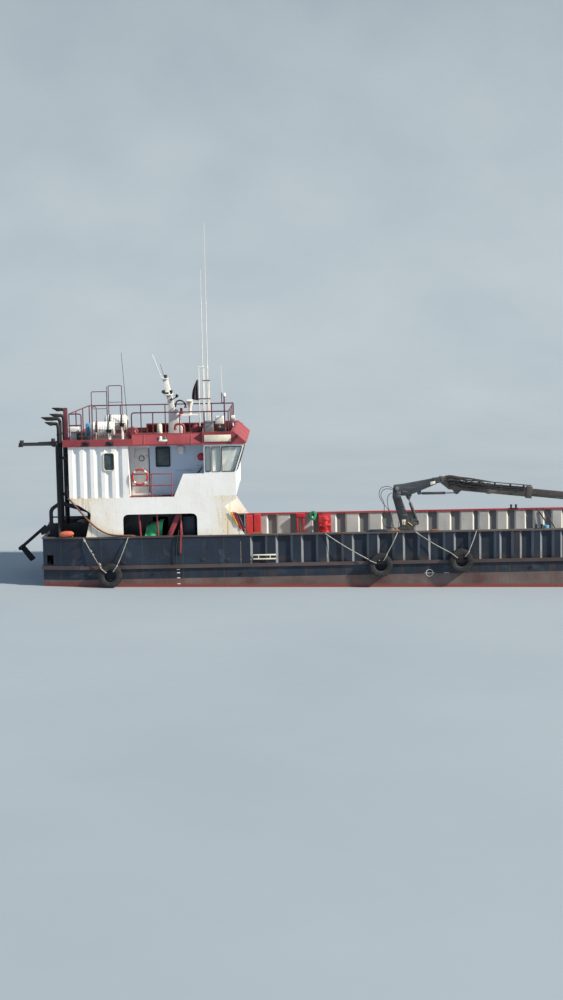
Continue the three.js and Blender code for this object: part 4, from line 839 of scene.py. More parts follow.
def make_tyre():
    """Worn tyre round the Y axis at the origin: hollow casing, grooved tread, shoulder lugs."""
    half = [(0.262, 0.105), (0.29, 0.122), (0.36, 0.133), (0.44, 0.135), (0.505, 0.127)]
    half += [(0.524, 0.112), (0.53, 0.06), (0.518, 0.054), (0.518, 0.036), (0.532, 0.03)]
    inner = [(0.505, 0.07), (0.478, 0.108), (0.4, 0.113), (0.3, 0.1), (0.262, 0.085)]
    near = [(radius, -height) for radius, height in half]
    section = [*half, *reversed(near), *[(r, -h) for r, h in reversed(inner)], *inner]
    casing = lathe(section, (0, 0, 0), axis=(0, 1, 0), steps=40)
    lug = slab((-0.026, 0.075, 0.508), (0.026, 0.134, 0.535), 0)
    pieces = [casing]
    other_side = Matrix.Rotation(math.radians(6), 4, "Y") @ Matrix.Scale(-1, 4, (0, 1, 0))
    for step in range(TYRE_LUGS):
        turn = Matrix.Rotation(math.tau * step / TYRE_LUGS, 4, "Y")
        pieces.append(copied(lug, turn=turn))
        pieces.append(copied(lug, turn=turn @ other_side))
    return joined([*pieces, lug])


class BARGE_OT_fender_tyres(bpy.types.Operator):
    """Old tyres hung as fenders, hollow and with their tread"""

    bl_idname = "barge.fender_tyres"
    bl_label = "Fender tyres"

    def execute(self, context):
        tyre = make_tyre()
        for side_name, side in SIDES:
            for number, (x, z) in enumerate(TYRE_PLACES, 1):
                node = f"tyre_{side_name}_{number}"
                piece = copied(tyre, (x, side * TYRE_Y, z), Matrix.Rotation(0.4 * number, 4, "Y"))
                finished(piece, f"{node}_treaded", "rubber")
                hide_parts(node)
        bpy.data.objects.remove(tyre)
        return {"FINISHED"}


# Each fender rope: where it leaves the rail, and its angle on the tyre, in degrees from the top
FENDER_ROPES = (
    ((-15.42, 48), (-13.42, -35)),
    ((-4.6, 65), (-1.36, -30)),
    ((-0.56, 52), (2.17, -38)),
)


class BARGE_OT_fender_ropes(bpy.types.Operator):
    """Ropes from the rail to the fender tyres, each with its lashing round the tyre"""

    bl_idname = "barge.fender_ropes"
    bl_label = "Fender ropes"

    def execute(self, context):
        width = sizes().rope
        for side_name, side in SIDES:
            for number, ((x, z), ropes) in enumerate(zip(TYRE_PLACES, FENDER_ROPES), 1):
                for place, (rail_x, degrees) in enumerate(ropes, 1):
                    name = f"fender_rope_{side_name}_{number}_{place}"
                    angle = math.radians(degrees)
                    out = Vector((-math.sin(angle), 0, math.cos(angle)))
                    middle = Vector((x, side * TYRE_Y, z))
                    corners = [
                        middle + out * radius + Vector((0, side * reach, 0))
                        for radius, reach in ((0.235, -0.14), (0.562, -0.14), (0.562, 0.16), (0.235, 0.16))
                    ]
                    finished([pipe(corners, width / 2, 0.05, closed=True)], f"{name}_lashing", "rope")
                    start = Vector((rail_x, side * 4.245, RAIL_Z - 0.03))
                    stop = middle + out * 0.548 + Vector((0, side * 0.02, 0))
                    points = [start.lerp(stop, share) for share in (0, 0.25, 0.5, 0.75, 1)]
                    for point, dip in zip(points, (0, 0.03, 0.045, 0.03, 0)):
                        point.z -= dip
                        point.y = side * max(abs(point.y), 4.31 if dip else abs(point.y))
                    laid_cord(name, points, width, "rope")
        return {"FINISHED"}


# Discharge hose at the starboard quarter, from the house wall to the valve in the gallery
HOSE_LINE = (
    (-16.08, -4.03, 5.6), (-16.08, -4.08, 5.4), (-16, -4.17, 5.17), (-15.8, -4.24, 4.93),
    (-15.52, -4.262, 4.6), (-15.18, -4.262, 4.2), (-14.8, -4.262, 3.84), (-14.4, -4.262, 3.6),
    (-14, -4.255, 3.5), (-13.6, -4.22, 3.475), (-13.22, -4.12, 3.45), (-12.92, -4, 3.31),
    (-12.74, -3.92, 3.06), (-12.68, -3.88, 2.76), (-12.68, -3.88, 2.44),
)
HOSE_WIDTH = 0.08


class BARGE_OT_discharge_hose(bpy.types.Operator):
    """Discharge hose with its elbow on the house and its valve in the gallery"""

    bl_idname = "barge.discharge_hose"
    bl_label = "Discharge hose"

    def execute(self, context):
        x, y, _ = HOSE_LINE[0]
        finished([
            pipe([(-15.97, y, 5.74), (x, y, 5.74), (x, y, 5.57)], 0.045, 0.07, 12),
            post(x, y, 5.66, 5.58, 0.058, ease=0.006),
            slab((-16, -4.12, 5.65), (-15.985, -3.94, 5.83)),
        ], "hose_elbow", "gear")
        x, y, _ = HOSE_LINE[-1]
        coupling = finished([post(x, y, 2.49, 2.39, 0.056, ease=0.006)], "hose_coupling", "steel")
        body = [(0, 0), (0.09, 0), (0.09, 0.03), (0.05, 0.06), (0.075, 0.13), (0.05, 0.2), (0, 0.2)]
        finished([
            lathe(body, (x, y, 2.2), steps=16),
            post(x, y, 2.102, 2.22, 0.05),
            lathe(disc(0.12, 0.025), (x, y, 2.101), steps=16),
            pipe([(x + a, y + 0.16, 2.32 + b) for a, b in circle(12, 0.08)], 0.009, 0, 6, closed=True),
            rod((x, y + 0.02, 2.32), (x, y + 0.17, 2.32), 0.012, sides=8),
        ], "hose_valve", "signal")
        laid_cord("discharge_hose", HOSE_LINE, HOSE_WIDTH, "hose", steps=5)
        return {"FINISHED"}


# How far the edges of a node are rounded
EASED_NODES = (
    (0.01, ("davit_post", "davit_boom", "stern_frame", "anchor_roller", "anchor", "mast", "stair")),
    (0.008, ("crane_base", "crane_column", "crane_main_boom", "crane_outer_boom", "crane_extension")),
    (0.004, ("crane_lift_barrel", "crane_lift_rod", "crane_knuckle_barrel", "crane_knuckle_rod")),
    (0.004, ("ramp_barrel_starboard", "ramp_barrel_port", "ramp_rod_starboard", "ramp_rod_port")),
    (0.006, ("boat_deck", "door_starboard", "door_port", "rudder_starboard", "rudder_port")),
)


class BARGE_OT_steel_edges(bpy.types.Operator):
    """Rounds the edges of the machinery and of the gear that stands free"""

    bl_idname = "barge.steel_edges"
    bl_label = "Eased steelwork"

    def execute(self, context):
        for width, nodes in EASED_NODES:
            for node in nodes:
                refined(node, width)
        return {"FINISHED"}


# Exhausts: foot X, Y, top of the bend, mouth X; they leave the deck and bend aft above the roof
EXHAUSTS = (
    (-16.42, -1.55, 9.05, -17.02),
    (-16.42, -2.1, 8.8, -17.06),
    (-16.5, -2.75, 8.69, -17.35),
    (-16.5, -3.4, 8.5, -17.1),
)
EXHAUST_RADIUS = 0.075
EXHAUST_BEND = 0.22


class BARGE_OT_exhausts(bpy.types.Operator):
    """Exhaust pipes with lagging bands, smooth bends and a slanted flap on each mouth"""

    bl_idname = "barge.exhausts"
    bl_label = "Exhausts"

    def execute(self, context):
        pieces = []
        for x, y, top, mouth in EXHAUSTS:
            bend_end = x - EXHAUST_BEND - 0.05
            line = [(x, y, ON_DECK_Z), (x, y, top), (bend_end, y, top)]
            pieces.append(pipe(line, EXHAUST_RADIUS, EXHAUST_BEND, 16))
            low, high = top - 0.085, top + 0.085
            lip = [(bend_end + 0.02, low), (bend_end + 0.02, high), (mouth, high)]
            lip += [(mouth, top + 0.06), (mouth + 0.24, low), (bend_end - 0.02, low)]
            pieces.append(plate(lip, y - 0.08, y + 0.08, 1, 0.02, 3))
            for height in (2.6, 3.9, 5.25, 6.9, 8):
                pieces.append(lathe(disc(EXHAUST_RADIUS + 0.012, 0.07), (x, y, height - 0.035), steps=16))
            pieces.append(lathe(disc(0.15, 0.02), (x, y, ON_DECK_Z), steps=16))
        for height in (5.25, 6.9):
            pieces.append(slab((-16.46, -3.44, height - 0.04), (-16.38, -1.5, height + 0.04)))
            for y in (-1.8, -3.1):
                pieces.append(slab((-16.42, y - 0.04, height - 0.03), (-15.985, y + 0.04, height + 0.03)))
        piece = finished(pieces, "exhaust_pipes", "black")
        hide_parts("exhausts")
        return {"FINISHED"}


# Roof rail, in metres: how far out it stands, its ends, the height of its lower bar, its gap, its radius
RAIL_Y = 3.88
RAIL_AFT = -15.95
RAIL_FORE = -8.82
RAIL_MIDDLE = 8.43
RAIL_GAP = (-15.4, -13.15)
RAIL_TUBE = 0.029


class BARGE_OT_roof_rails(bpy.types.Operator):
    """Round tube rails on the roof, with a gap at the starboard side"""

    bl_idname = "barge.roof_rails"
    bl_label = "Roof rails"

    def execute(self, context):
        foot = ROOF_DECK_Z + 0.001
        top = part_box("roof_rails")[1][2] - RAIL_TUBE
        line = [
            (RAIL_GAP[0], -RAIL_Y, foot),
            (RAIL_GAP[0], -RAIL_Y, top),
            (RAIL_AFT, -RAIL_Y, top),
            (RAIL_AFT, RAIL_Y, top),
            (RAIL_FORE, RAIL_Y, top),
            (RAIL_FORE, -RAIL_Y, top),
            (RAIL_GAP[1], -RAIL_Y, top),
            (RAIL_GAP[1], -RAIL_Y, foot),
        ]
        short_bar = [(RAIL_GAP[0], -RAIL_Y, RAIL_MIDDLE), (RAIL_AFT, -RAIL_Y, RAIL_MIDDLE)]
        pieces = [pipe(line, RAIL_TUBE, 0.12), pipe(short_bar, RAIL_TUBE, 0)]
        posts = [(x, side * RAIL_Y) for x in (-15.94, -14.4, -12.2, -11, -9.9, -8.83) for side in (-1, 1)]
        posts += [(-13.4, RAIL_Y), (RAIL_AFT, 1.3), (RAIL_AFT, -1.3), (RAIL_FORE, 1.3), (RAIL_FORE, -1.3)]
        for x, y in posts:
            if y < 0 and RAIL_GAP[0] < x < RAIL_GAP[1]:
                continue
            pieces.append(post(x, y, foot, top, RAIL_TUBE * 0.9, sides=8))
            pieces.append(lathe([(0, 0), (0.07, 0), (0.06, 0.014), (0, 0.014)], (x, y, foot), steps=10))
        piece = finished(pieces, "roof_rail_tubes", "maroon")
        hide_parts("roof_rails")
        return {"FINISHED"}


# Life raft canisters: aft end, Y, height and radius; they lie along the ship
RAFTS = (("raft_aft", -14.51, -3.2, 8.22, 0.33), ("raft_fore", -14.07, -1.5, 8.4, 0.36))


class BARGE_OT_life_rafts(bpy.types.Operator):
    """Glass-fibre raft canisters with ribs, a parting seam, straps and cradles"""

    bl_idname = "barge.life_rafts"
    bl_label = "Life rafts"

    def execute(self, context):
        for node, x, y, z, radius in RAFTS:
            half, taper, ribs = 0.44, 0.09, 8
            pitch = 2 * half / ribs
            end = [(radius * 0.72, half + taper), (radius * 0.9, half + taper * 0.55)]
            section = [(0, -half - taper), *[(wide, -height) for wide, height in end]]
            for rib in range(ribs):
                for share, height in ((1, 0.12), (1, 0.62), (0.955, 0.74), (0.955, 0.98)):
                    section.append((radius * share, -half + pitch * (rib + height)))
            section += [*reversed(end), (0, half + taper)]
            seam = radius + 0.015
            canister = finished([
                lathe(section, (x, y, z), axis=(1, 0, 0), steps=36),
                slab((x - half, y - seam, z - 0.018), (x + half, y + seam, z + 0.018)),
            ], f"{node}_canister", "fibre")
            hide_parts(node)
            straps, cradle = [], []
            inner, outer, foot = radius + 0.004, radius + 0.012, ROOF_DECK_Z + 0.001
            for middle in (x - 0.27, x + 0.27):
                aft, fore = middle - 0.03, middle + 0.03
                band = [(inner, -0.03), (outer, -0.03), (outer, 0.03), (inner, 0.03)]
                straps.append(lathe(band, (middle, y, z), axis=(1, 0, 0), steps=36))
                straps.append(slab((aft, y - radius - 0.05, z - 0.05), (fore, y - radius, z + 0.05)))
                saddle = [(y - radius * 0.95, foot), (y + radius * 0.95, foot)]
                for step in range(9):
                    angle = math.radians(-20 - 140 * step / 8)
                    saddle.append((y + inner * math.cos(angle), z + inner * math.sin(angle)))
                cradle.append(plate(saddle, aft, fore, 0))
            finished(straps, f"{node}_straps", "dark")
            finished(cradle, f"{node}_cradle", "white")
        return {"FINISHED"}


def mushroom(x, y, cap, foot):
    """Mushroom vent: coaming with a flange, cap with a rolled rim, and a locking wheel under it."""
    neck = cap * 0.62
    coaming = [(0, 0), (neck + 0.08, 0), (neck + 0.08, 0.02), (neck, 0.03), (neck, 0.4), (0, 0.4)]
    cover = [(0, 0.36), (cap - 0.03, 0.3), (cap, 0.32), (cap + 0.006, 0.36), (cap, 0.5)]
    cover += [(cap * 0.93, 0.58), (cap * 0.72, 0.665), (cap * 0.4, 0.71), (0, 0.72)]
    wheel = [(0, 0), (0.05, 0), (0.05, 0.02), (0.02, 0.05), (0, 0.05)]
    return [
        lathe(coaming, (x, y, foot), steps=32),
        lathe(cover, (x, y, foot), steps=32),
        lathe(wheel, (x, y, foot + 0.715), steps=12),
    ]


class BARGE_OT_roof_vents(bpy.types.Operator):
    """Mushroom vents and the gooseneck pipe on the roof"""

    bl_idname = "barge.roof_vents"
    bl_label = "Vents and gooseneck"

    def execute(self, context):
        foot = ROOF_DECK_Z + 0.0003
        for node, x, y, cap in (("vent_aft", -13.18, -3.3, 0.29), ("vent_fore", -10.36, -2.4, 0.22)):
            piece = finished(mushroom(x, y, cap, foot), f"{node}_mushroom", "red")
            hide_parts(node)
        aft, fore, y = -11.25, -10.85, -3.3
        line = [(fore, y, foot), (fore, y, foot + 0.82), (aft, y, foot + 0.82), (aft, y, foot + 0.55)]
        piece = finished([
            pipe(line, 0.055, 0.2, 16),
            lathe(disc(0.11, 0.02), (fore, y, foot), steps=16),
            lathe(disc(0.066, 0.05), (aft, y, foot + 0.55), steps=16),
        ], "gooseneck_pipe", "red")
        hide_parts("gooseneck")
        return {"FINISHED"}


class BARGE_OT_radar(bpy.types.Operator):
    """Radar scanner: a drum gearbox and a slotted array with rounded ends"""

    bl_idname = "barge.radar"
    bl_label = "Radar scanner"

    def execute(self, context):
        x, z = -10.75, 8.6303
        drum = [(0, 0), (0.075, 0), (0.07, 0.28), (0.085, 0.34), (0.15, 0.5), (0.168, 0.6), (0, 0.61)]
        array = slab((x - 0.15, -0.56, z + 0.6), (x + 0.15, 0.56, z + 0.69), 0.035, 4)
        slot = slab((x + 0.14, -0.5, z + 0.625), (x + 0.155, 0.5, z + 0.665), 0.005)
        piece = finished([lathe(drum, (x, 0, z), steps=32), array], "radar_scanner", "fibre", "radar")
        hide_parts("radar")
        finished([slot], "radar_slot", "dark", "radar")
        return {"FINISHED"}


class BARGE_OT_whips(bpy.types.Operator):
    """Tapered whip aerials with their ferrules and bases"""

    bl_idname = "barge.whips"
    bl_label = "Tall aerials"

    def execute(self, context):
        for node, x, y in (("antenna_tall", -9.82, -1.5), ("antenna_short", -10.15, 0.9)):
            low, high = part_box(node)
            foot, top = low[2], high[2]
            radius = min(high[0] - low[0], high[1] - low[1]) / 2
            piece = finished([
                post(x, y, foot, foot + 0.35, radius, radius * 0.8, 16, 0.006),
                post(x, y, foot + 0.34, foot + 3.2, 0.03, 0.026, 12),
                post(x, y, foot + 3.18, foot + 3.34, 0.036, 0.034, 12, 0.005),
                post(x, y, foot + 3.3, foot + 6.2, 0.022, 0.017, 10),
                post(x, y, foot + 6.16, foot + 6.28, 0.024, 0.022, 10, 0.004),
                post(x, y, foot + 6.2, top, 0.014, 0.007, 8),
            ], f"{node}_whip", "fibre")
            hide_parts(node)
        return {"FINISHED"}


def bored(piece, tool):
    """The piece with a tool's shape cut out of it; the tool goes."""
    altered(piece, "BOOLEAN", operation="DIFFERENCE", object=tool)
    bpy.data.objects.remove(tool)
    return piece


def framed(low, high, radius, width, near, far, across=1):
    """Frame round a round-cornered opening, between two planes across an axis."""
    grown = [value - width for value in low], [value + width for value in high]
    depth = (far - near) * 0.2
    outer = plate(round_cornered(*grown, radius + width), near, far, across, 0)
    inner = plate(round_cornered(low, high, radius), near - depth, far + depth, across, 0)
    return eased(bored(outer, inner), 0.005)


def cloth(name, levels, steps, place, finish):
    """Sheet of cloth.

    Each of its points is what place gives for how far down and how far across it lies, from 0 to 1.
    """
    rows = []
    for level in range(levels + 1):
        rows.append([place(level / levels, step / steps) for step in range(steps + 1)])
    bpy.ops.mesh.primitive_grid_add(x_subdivisions=steps, y_subdivisions=levels)
    piece = bpy.context.object
    for vertex, point in zip(piece.data.vertices, [point for row in rows for point in row]):
        vertex.co = point
    finished(piece, name, finish, angle=60)
    lengths = [line_length([Vector(point) for point in column]) for column in zip(*rows)]
    return piece


# Windows of the house: lowest and highest corner in X and Z, and the heights of the wheelhouse's glass
AFT_WINDOW = ((-14.4, 6.42), (-13.96, 7.18))
RECESS_WINDOW = ((-12.12, 6.5), (-11.56, 7.32))
DOOR_MIDDLE = (-12.805, 6.85)
GLASS_LOW = 6.28
GLASS_HIGH = 7.38
WHEELHOUSE_LEAN = 0.3228


def front_x(z):
    """How far forward the leaning front of the wheelhouse stands at a height."""
    return -8.54 + WHEELHOUSE_LEAN * (z - 6.22)


class BARGE_OT_house_windows(bpy.types.Operator):
    """Frames and panes of the house, rubber seals of the wheelhouse, and the door's round window"""

    bl_idname = "barge.house_windows"
    bl_label = "Windows of the house"

    def execute(self, context):
        (x0, z0), (x1, z1) = AFT_WINDOW
        frame_piece = framed(*AFT_WINDOW, 0.09, 0.035, -4.235, -4.1)
        pane = round_cornered((x0 - 0.01, z0 - 0.01), (x1 + 0.01, z1 + 0.01), 0.09)
        panes = [plate(pane, -4.175, -4.16)]
        (x0, z0), (x1, z1) = RECESS_WINDOW
        black = framed(*RECESS_WINDOW, 0.02, 0.05, -3.24, -3.16)
        panes.append(slab((x0 - 0.01, -3.19, z0 - 0.01), (x1 + 0.01, -3.178, z1 + 0.01), 0.002))
        seals = []
        for aft, fore in ((-9.88, -9.66), (-9.59, -9.22)):
            seals.append(framed((aft, GLASS_LOW), (fore, GLASS_HIGH), 0.03, 0.016, -4.215, -4.13))
        corner = [
            (-9.15, -4.2, GLASS_LOW),
            (front_x(GLASS_LOW) - 0.075, -4.2, GLASS_LOW),
            (front_x(GLASS_HIGH) - 0.075, -4.2, GLASS_HIGH),
            (-9.15, -4.2, GLASS_HIGH),
        ]
        seals.append(pipe(corner, 0.02, 0.05, closed=True))
        for pieces, name, finish in (
            ([frame_piece], "window_frames", "board"),
            (panes, "window_panes", "cabin"),
            ([black], "window_black_frames", "dark"),
            (seals, "window_seals", "dark"),
        ):
            piece = joined(pieces)
            other = mirrored(piece)
            finished(piece, f"{name}_starboard", finish)
            finished(other, f"{name}_port", finish)
        front = []
        for y in (-3.32, -1.66, 0, 1.66, 3.32):
            left, right = y - 0.7, y + 0.7
            corners = [(left, GLASS_LOW), (right, GLASS_LOW), (right, GLASS_HIGH), (left, GLASS_HIGH)]
            line = [(front_x(z) + 0.004, across, z) for across, z in corners]
            front.append(pipe(line, 0.02, 0.05, closed=True))
            arm = [(front_x(6.34) + 0.05, y - 0.1, 6.34), (front_x(6.9) + 0.03, y + 0.16, 6.9)]
            motor = [(front_x(6.24) + 0.01, y - 0.1, 6.3), (front_x(6.3) + 0.05, y - 0.1, 6.34)]
            front += [rod(*arm, 0.009, sides=6), rod(*motor, 0.03, sides=10)]
        finished(front, "front_seals", "dark")
        frames, panes = [], []
        for y in (-2.2, 2.2):
            frames.append(framed((y - 0.28, 6.4), (y + 0.28, 7.05), 0.05, 0.04, -16.02, -15.92, 0))
            panes.append(slab((-15.965, y - 0.29, 6.39), (-15.95, y + 0.29, 7.06), 0.002))
        finished(frames, "aft_window_frames", "board")
        finished(panes, "aft_window_panes", "cabin")
        rim = [(0.1, 0), (0.135, 0), (0.135, 0.018), (0.128, 0.024), (0.107, 0.024), (0.1, 0.018)]
        for name, side in SIDES:
            door = f"door_{name}"
            x, z = DOOR_MIDDLE
            y = side * RECESS_Y
            for part, finish, out, profile in (
                ("collar", "white", 0.002, [(0.125, 0), (0.19, 0), (0.188, 0.008), (0.125, 0.01)]),
                ("rim", "dark", 0.002, rim),
                ("pane", "lamp", 0, disc(0.13, 0.006)),
            ):
                turned = lathe(profile, (x, y + side * out, z), (0, side, 0), 32)
                finished([turned], f"{door}_{part}", finish, door)
            lever = [
                rod((x + 0.24, y, 6.26), (x + 0.24, y + side * 0.055, 6.26), 0.018, sides=10),
                pipe([(x + 0.24, y + side * 0.05, 6.26), (x + 0.12, y + side * 0.055, 6.24)], 0.012, 0),
            ]
            for height in (5.62, 6.96):
                inner, outer = (x + 0.27, y, height), (x + 0.27, y + side * 0.04, height)
                lever.append(rod(inner, outer, 0.016, sides=8))
                near, far = (x + 0.2, y + side * 0.03), (x + 0.29, y + side * 0.045)
                lever.append(slab((*near, height - 0.014), (*far, height + 0.014), 0.004))
            finished(lever, f"{door}_lever", "steel", door)
        return {"FINISHED"}


class BARGE_OT_wheelhouse_inside(bpy.types.Operator):
    """Console, wheel, seat and curtains behind the wheelhouse glass"""

    bl_idname = "barge.wheelhouse_inside"
    bl_label = "Inside of the wheelhouse"

    def execute(self, context):
        desk = [(-9.35, 5.245), (-8.8, 5.245), (-8.72, 6.05), (-8.92, 6.28), (-9.3, 6.14)]
        finished([
            plate(desk, -1.6, 1.6, 1, 0.03),
            slab((-9.12, -0.95, 6.16), (-8.94, -0.45, 6.42), 0.02),
            slab((-9.12, 0.45, 6.16), (-8.94, 0.95, 6.42), 0.02),
        ], "wheelhouse_console", "dark")
        x, z, radius = -9.42, 6.12, 0.26
        rim = [(x, a, z + b) for a, b in circle(20, radius)]
        wheel = [pipe(rim, 0.016, 0, closed=True), rod((-9.44, 0, z), (-9.3, 0, 6.1), 0.03)]
        for degrees in (90, 210, 330):
            angle = math.radians(degrees)
            end = (x, radius * math.cos(angle), z + radius * math.sin(angle))
            wheel.append(rod((x, 0, z), end, 0.01, sides=6))
        finished(wheel, "wheelhouse_wheel", "leather")
        finished([
            post(-9.95, 0, 5.245, 5.78, 0.05),
            lathe([(0, 0), (0.24, 0), (0.22, 0.03), (0, 0.04)], (-9.95, 0, 5.245), steps=20),
            slab((-10.2, -0.27, 5.76), (-9.7, 0.27, 5.88), 0.05, 4),
            slab((-10.26, -0.26, 5.86), (-10.14, 0.26, 6.62), 0.05, 4),
        ], "wheelhouse_seat", "leather")
        for name, side in SIDES:
            for number, (start, stop) in enumerate(((-9.9, -9.68), (-9.42, -9.22), (-8.86, -8.72)), 1):

                def place(down, share):
                    z = 7.36 - 1.06 * down
                    lean = WHEELHOUSE_LEAN * (z - 6.8) if number == 3 else 0
                    fold = 0.016 * math.cos(math.tau * 5 * share + 0.4 * math.sin(8 * down))
                    return start + (stop - start) * share + lean, side * (4.085 + fold), z

                cloth(f"curtain_{name}_{number}", 8, 24, place, "curtain")
        return {"FINISHED"}


def lifebuoy(centre, side, radius=0.385, tube=0.047):
    """Lifebuoy flat against a wall: red ring, four white bands and a grab line."""
    x, y, z = centre
    ring = [(radius - tube + a, 0.8 * b) for a, b in circle(12, tube)]
    red = [lathe(ring, (x, y, z), (0, side, 0), 40)]
    white = []
    for quarter in range(4):
        band = []
        for step in range(10):
            angle = math.radians(45 + 90 * quarter - 9 + 2 * step)
            middle = Vector((math.cos(angle), 0, math.sin(angle))) * (radius - tube)
            band.append(Vector(centre) + middle)
        white.append(pipe(band, tube * 1.04, 0, 12))
    line = [(x + a, y + side * 0.01, z + b) for a, b in circle(24, radius + 0.012)]
    rope = [pipe(line, 0.008, 0, 6, closed=True)]
    return red, white, rope


def lamp(foot, axis, radius, length):
    """Small floodlight: round housing with a rim, on a stub."""
    foot, axis = Vector(foot), Vector(axis)
    body = [(0, 0), (radius * 0.6, 0), (radius, length * 0.5), (radius, length), (radius * 0.86, length)]
    body += [(radius * 0.86, length - 0.012), (0, length - 0.012)]
    return lathe(body, foot, axis, 20)


class BARGE_OT_house_fittings(bpy.types.Operator):
    """Lamps, lifebuoys, blank boards, and the boxes, gong and handrails of the recess"""

    bl_idname = "barge.house_fittings"
    bl_label = "Fittings of the house"

    def execute(self, context):
        for name, side in SIDES:
            red, white, rope = lifebuoy((-12.81, side * 4.262, 6.1), side)
            finished(red, f"lifebuoy_{name}_red", "signal")
            finished(white, f"lifebuoy_{name}_white", "board")
            finished(rope, f"lifebuoy_{name}_line", "rope")
            edge = side * 4.26
            lamps = []
            for x, z in ((-15.17, 7.66), (-14.1, 7.64)):
                lamps.append(lamp((x, edge, z), (0, side, -0.35), 0.085, 0.11))
                lamps.append(slab((x - 0.15, edge, 7.54), (x + 0.15, edge + side * 0.03, 7.72), 0.01))
            finished(lamps, f"deck_lamps_{name}", "gear")
            board = slab((-9.91, edge, 7.62), (-8.72, edge + side * 0.022, 7.92), 0.008)
            finished([board], f"blank_board_{name}", "board")
            out = edge + side * 0.1
            light = [(0, 0), (0.07, 0), (0.07, 0.03), (0.055, 0.04), (0.055, 0.12)]
            light += [(0.07, 0.13), (0.07, 0.16), (0, 0.17)]
            finished([
                rod((-8.45, edge, 7.8), (-8.45, out, 7.8), 0.035, sides=10),
                lathe(light, (-8.45, out, 7.76), steps=16),
            ], f"side_light_{name}", "signal" if side > 0 else "gear")
        finished([
            slab((-11.15, -3.36, 7.02), (-10.89, -3.195, 7.38), 0.015),
            slab((-10.42, -3.42, 6.42), (-10.1, -3.195, 6.47), 0.006),
        ], "recess_boxes", "white")
        finished([
            rod((-10.37, -3.22, 6.05), (-10.06, -3.36, 6.41), 0.022, sides=8),
            rod((-10.37, -3.2, 6.05), (-10.37, -3.24, 6.05), 0.04, sides=10),
            # The thin black post along the door's fore edge is painted shade: the dark gap beside the door
            post(-12.47, -3.21, 5.3, 7.3, 0.02, sides=8),
        ], "recess_brace_and_gap_shade", "gear")
        bell = [(0, -0.01), (0.05, -0.01), (0.05, 0.03), (0.17, 0.04)]
        bell += [(0.165, 0.07), (0.11, 0.11), (0, 0.13)]
        finished([lathe(bell, (-10.12, -3.195, 6.87), (0, -1, 0))], "recess_gong", "signal")
        light = [(0, 0), (0.075, 0), (0.075, 0.12), (0.05, 0.15), (0, 0.16)]
        finished([
            lathe(light, (-11.86, -4.12, 7.74), steps=16),
            slab((-11.94, -4.2, 7.66), (-11.56, -4.02, 7.745), 0.01),
        ], "slope_light_white", "white")
        light = [(0, 0), (0.06, 0), (0.06, 0.1), (0.04, 0.13), (0, 0.14)]
        finished([lathe(light, (-11.66, -4.12, 7.74), steps=16)], "slope_light_green", "green")
        handrail = []
        for side in (-1, 1):
            line = [(-11.3, 3.19), (-11.3, 3.26), (-10.55, 3.26), (-10.55, 3.19)]
            handrail.append(pipe([(x, side * y, 6.3) for x, y in line], 0.016, 0.03))
        finished(handrail, "recess_handrails", "white")
        return {"FINISHED"}


class BARGE_OT_lower_house(bpy.types.Operator):
    """Windows and doors of the lower house that look onto the cargo deck"""

    bl_idname = "barge.lower_house"
    bl_label = "Front of the lower house"

    def execute(self, context):
        frames, panes, leaves, furniture = [], [], [], []
        for y in (-2.1, -0.7, 0.7, 2.1):
            frames.append(framed((y - 0.33, 3.55), (y + 0.33, 4.25), 0.06, 0.04, -9.1, -9.05, 0))
            panes.append(slab((-9.1, y - 0.34, 3.54), (-9.085, y + 0.34, 4.26), 0.002))
        for side in (-1, 1):
            low, high = sorted((side * 3.13, side * 3.88))
            leaves.append(slab((-9.13, low - 0.005, 2.255), (-9.095, high + 0.005, 4.155), 0.01))
            frames.append(framed((low, 2.26), (high, 4.15), 0.05, 0.05, -9.1, -9.06, 0))
            middle = (low + high) / 2
            pivot = middle - 0.24 * side
            furniture.append(rod((-9.1, pivot, 3.15), (-9.04, pivot, 3.15), 0.018, sides=8))
            furniture.append(slab((-9.05, middle - 0.3, 3.135), (-9.035, middle + 0.3, 3.165), 0.005))
            rim = [(0.12, 0), (0.18, 0), (0.18, 0.03), (0.12, 0.03)]
            furniture.append(lathe(rim, (-9.1, middle, 3.75), (1, 0, 0), 24))
            panes.append(lathe(disc(0.14, 0.01), (-9.1, middle, 3.75), (1, 0, 0), 24))
        finished([slab((-14.71, -0.39, 2.26), (-14.68, 0.39, 4.14), 0.01)], "aft_door", "white")
        finished(frames, "lower_window_frames", "board")
        finished(panes, "lower_window_panes", "cabin")
        finished(leaves, "lower_doors", "white")
        finished(furniture, "lower_door_fittings", "steel")
        return {"FINISHED"}


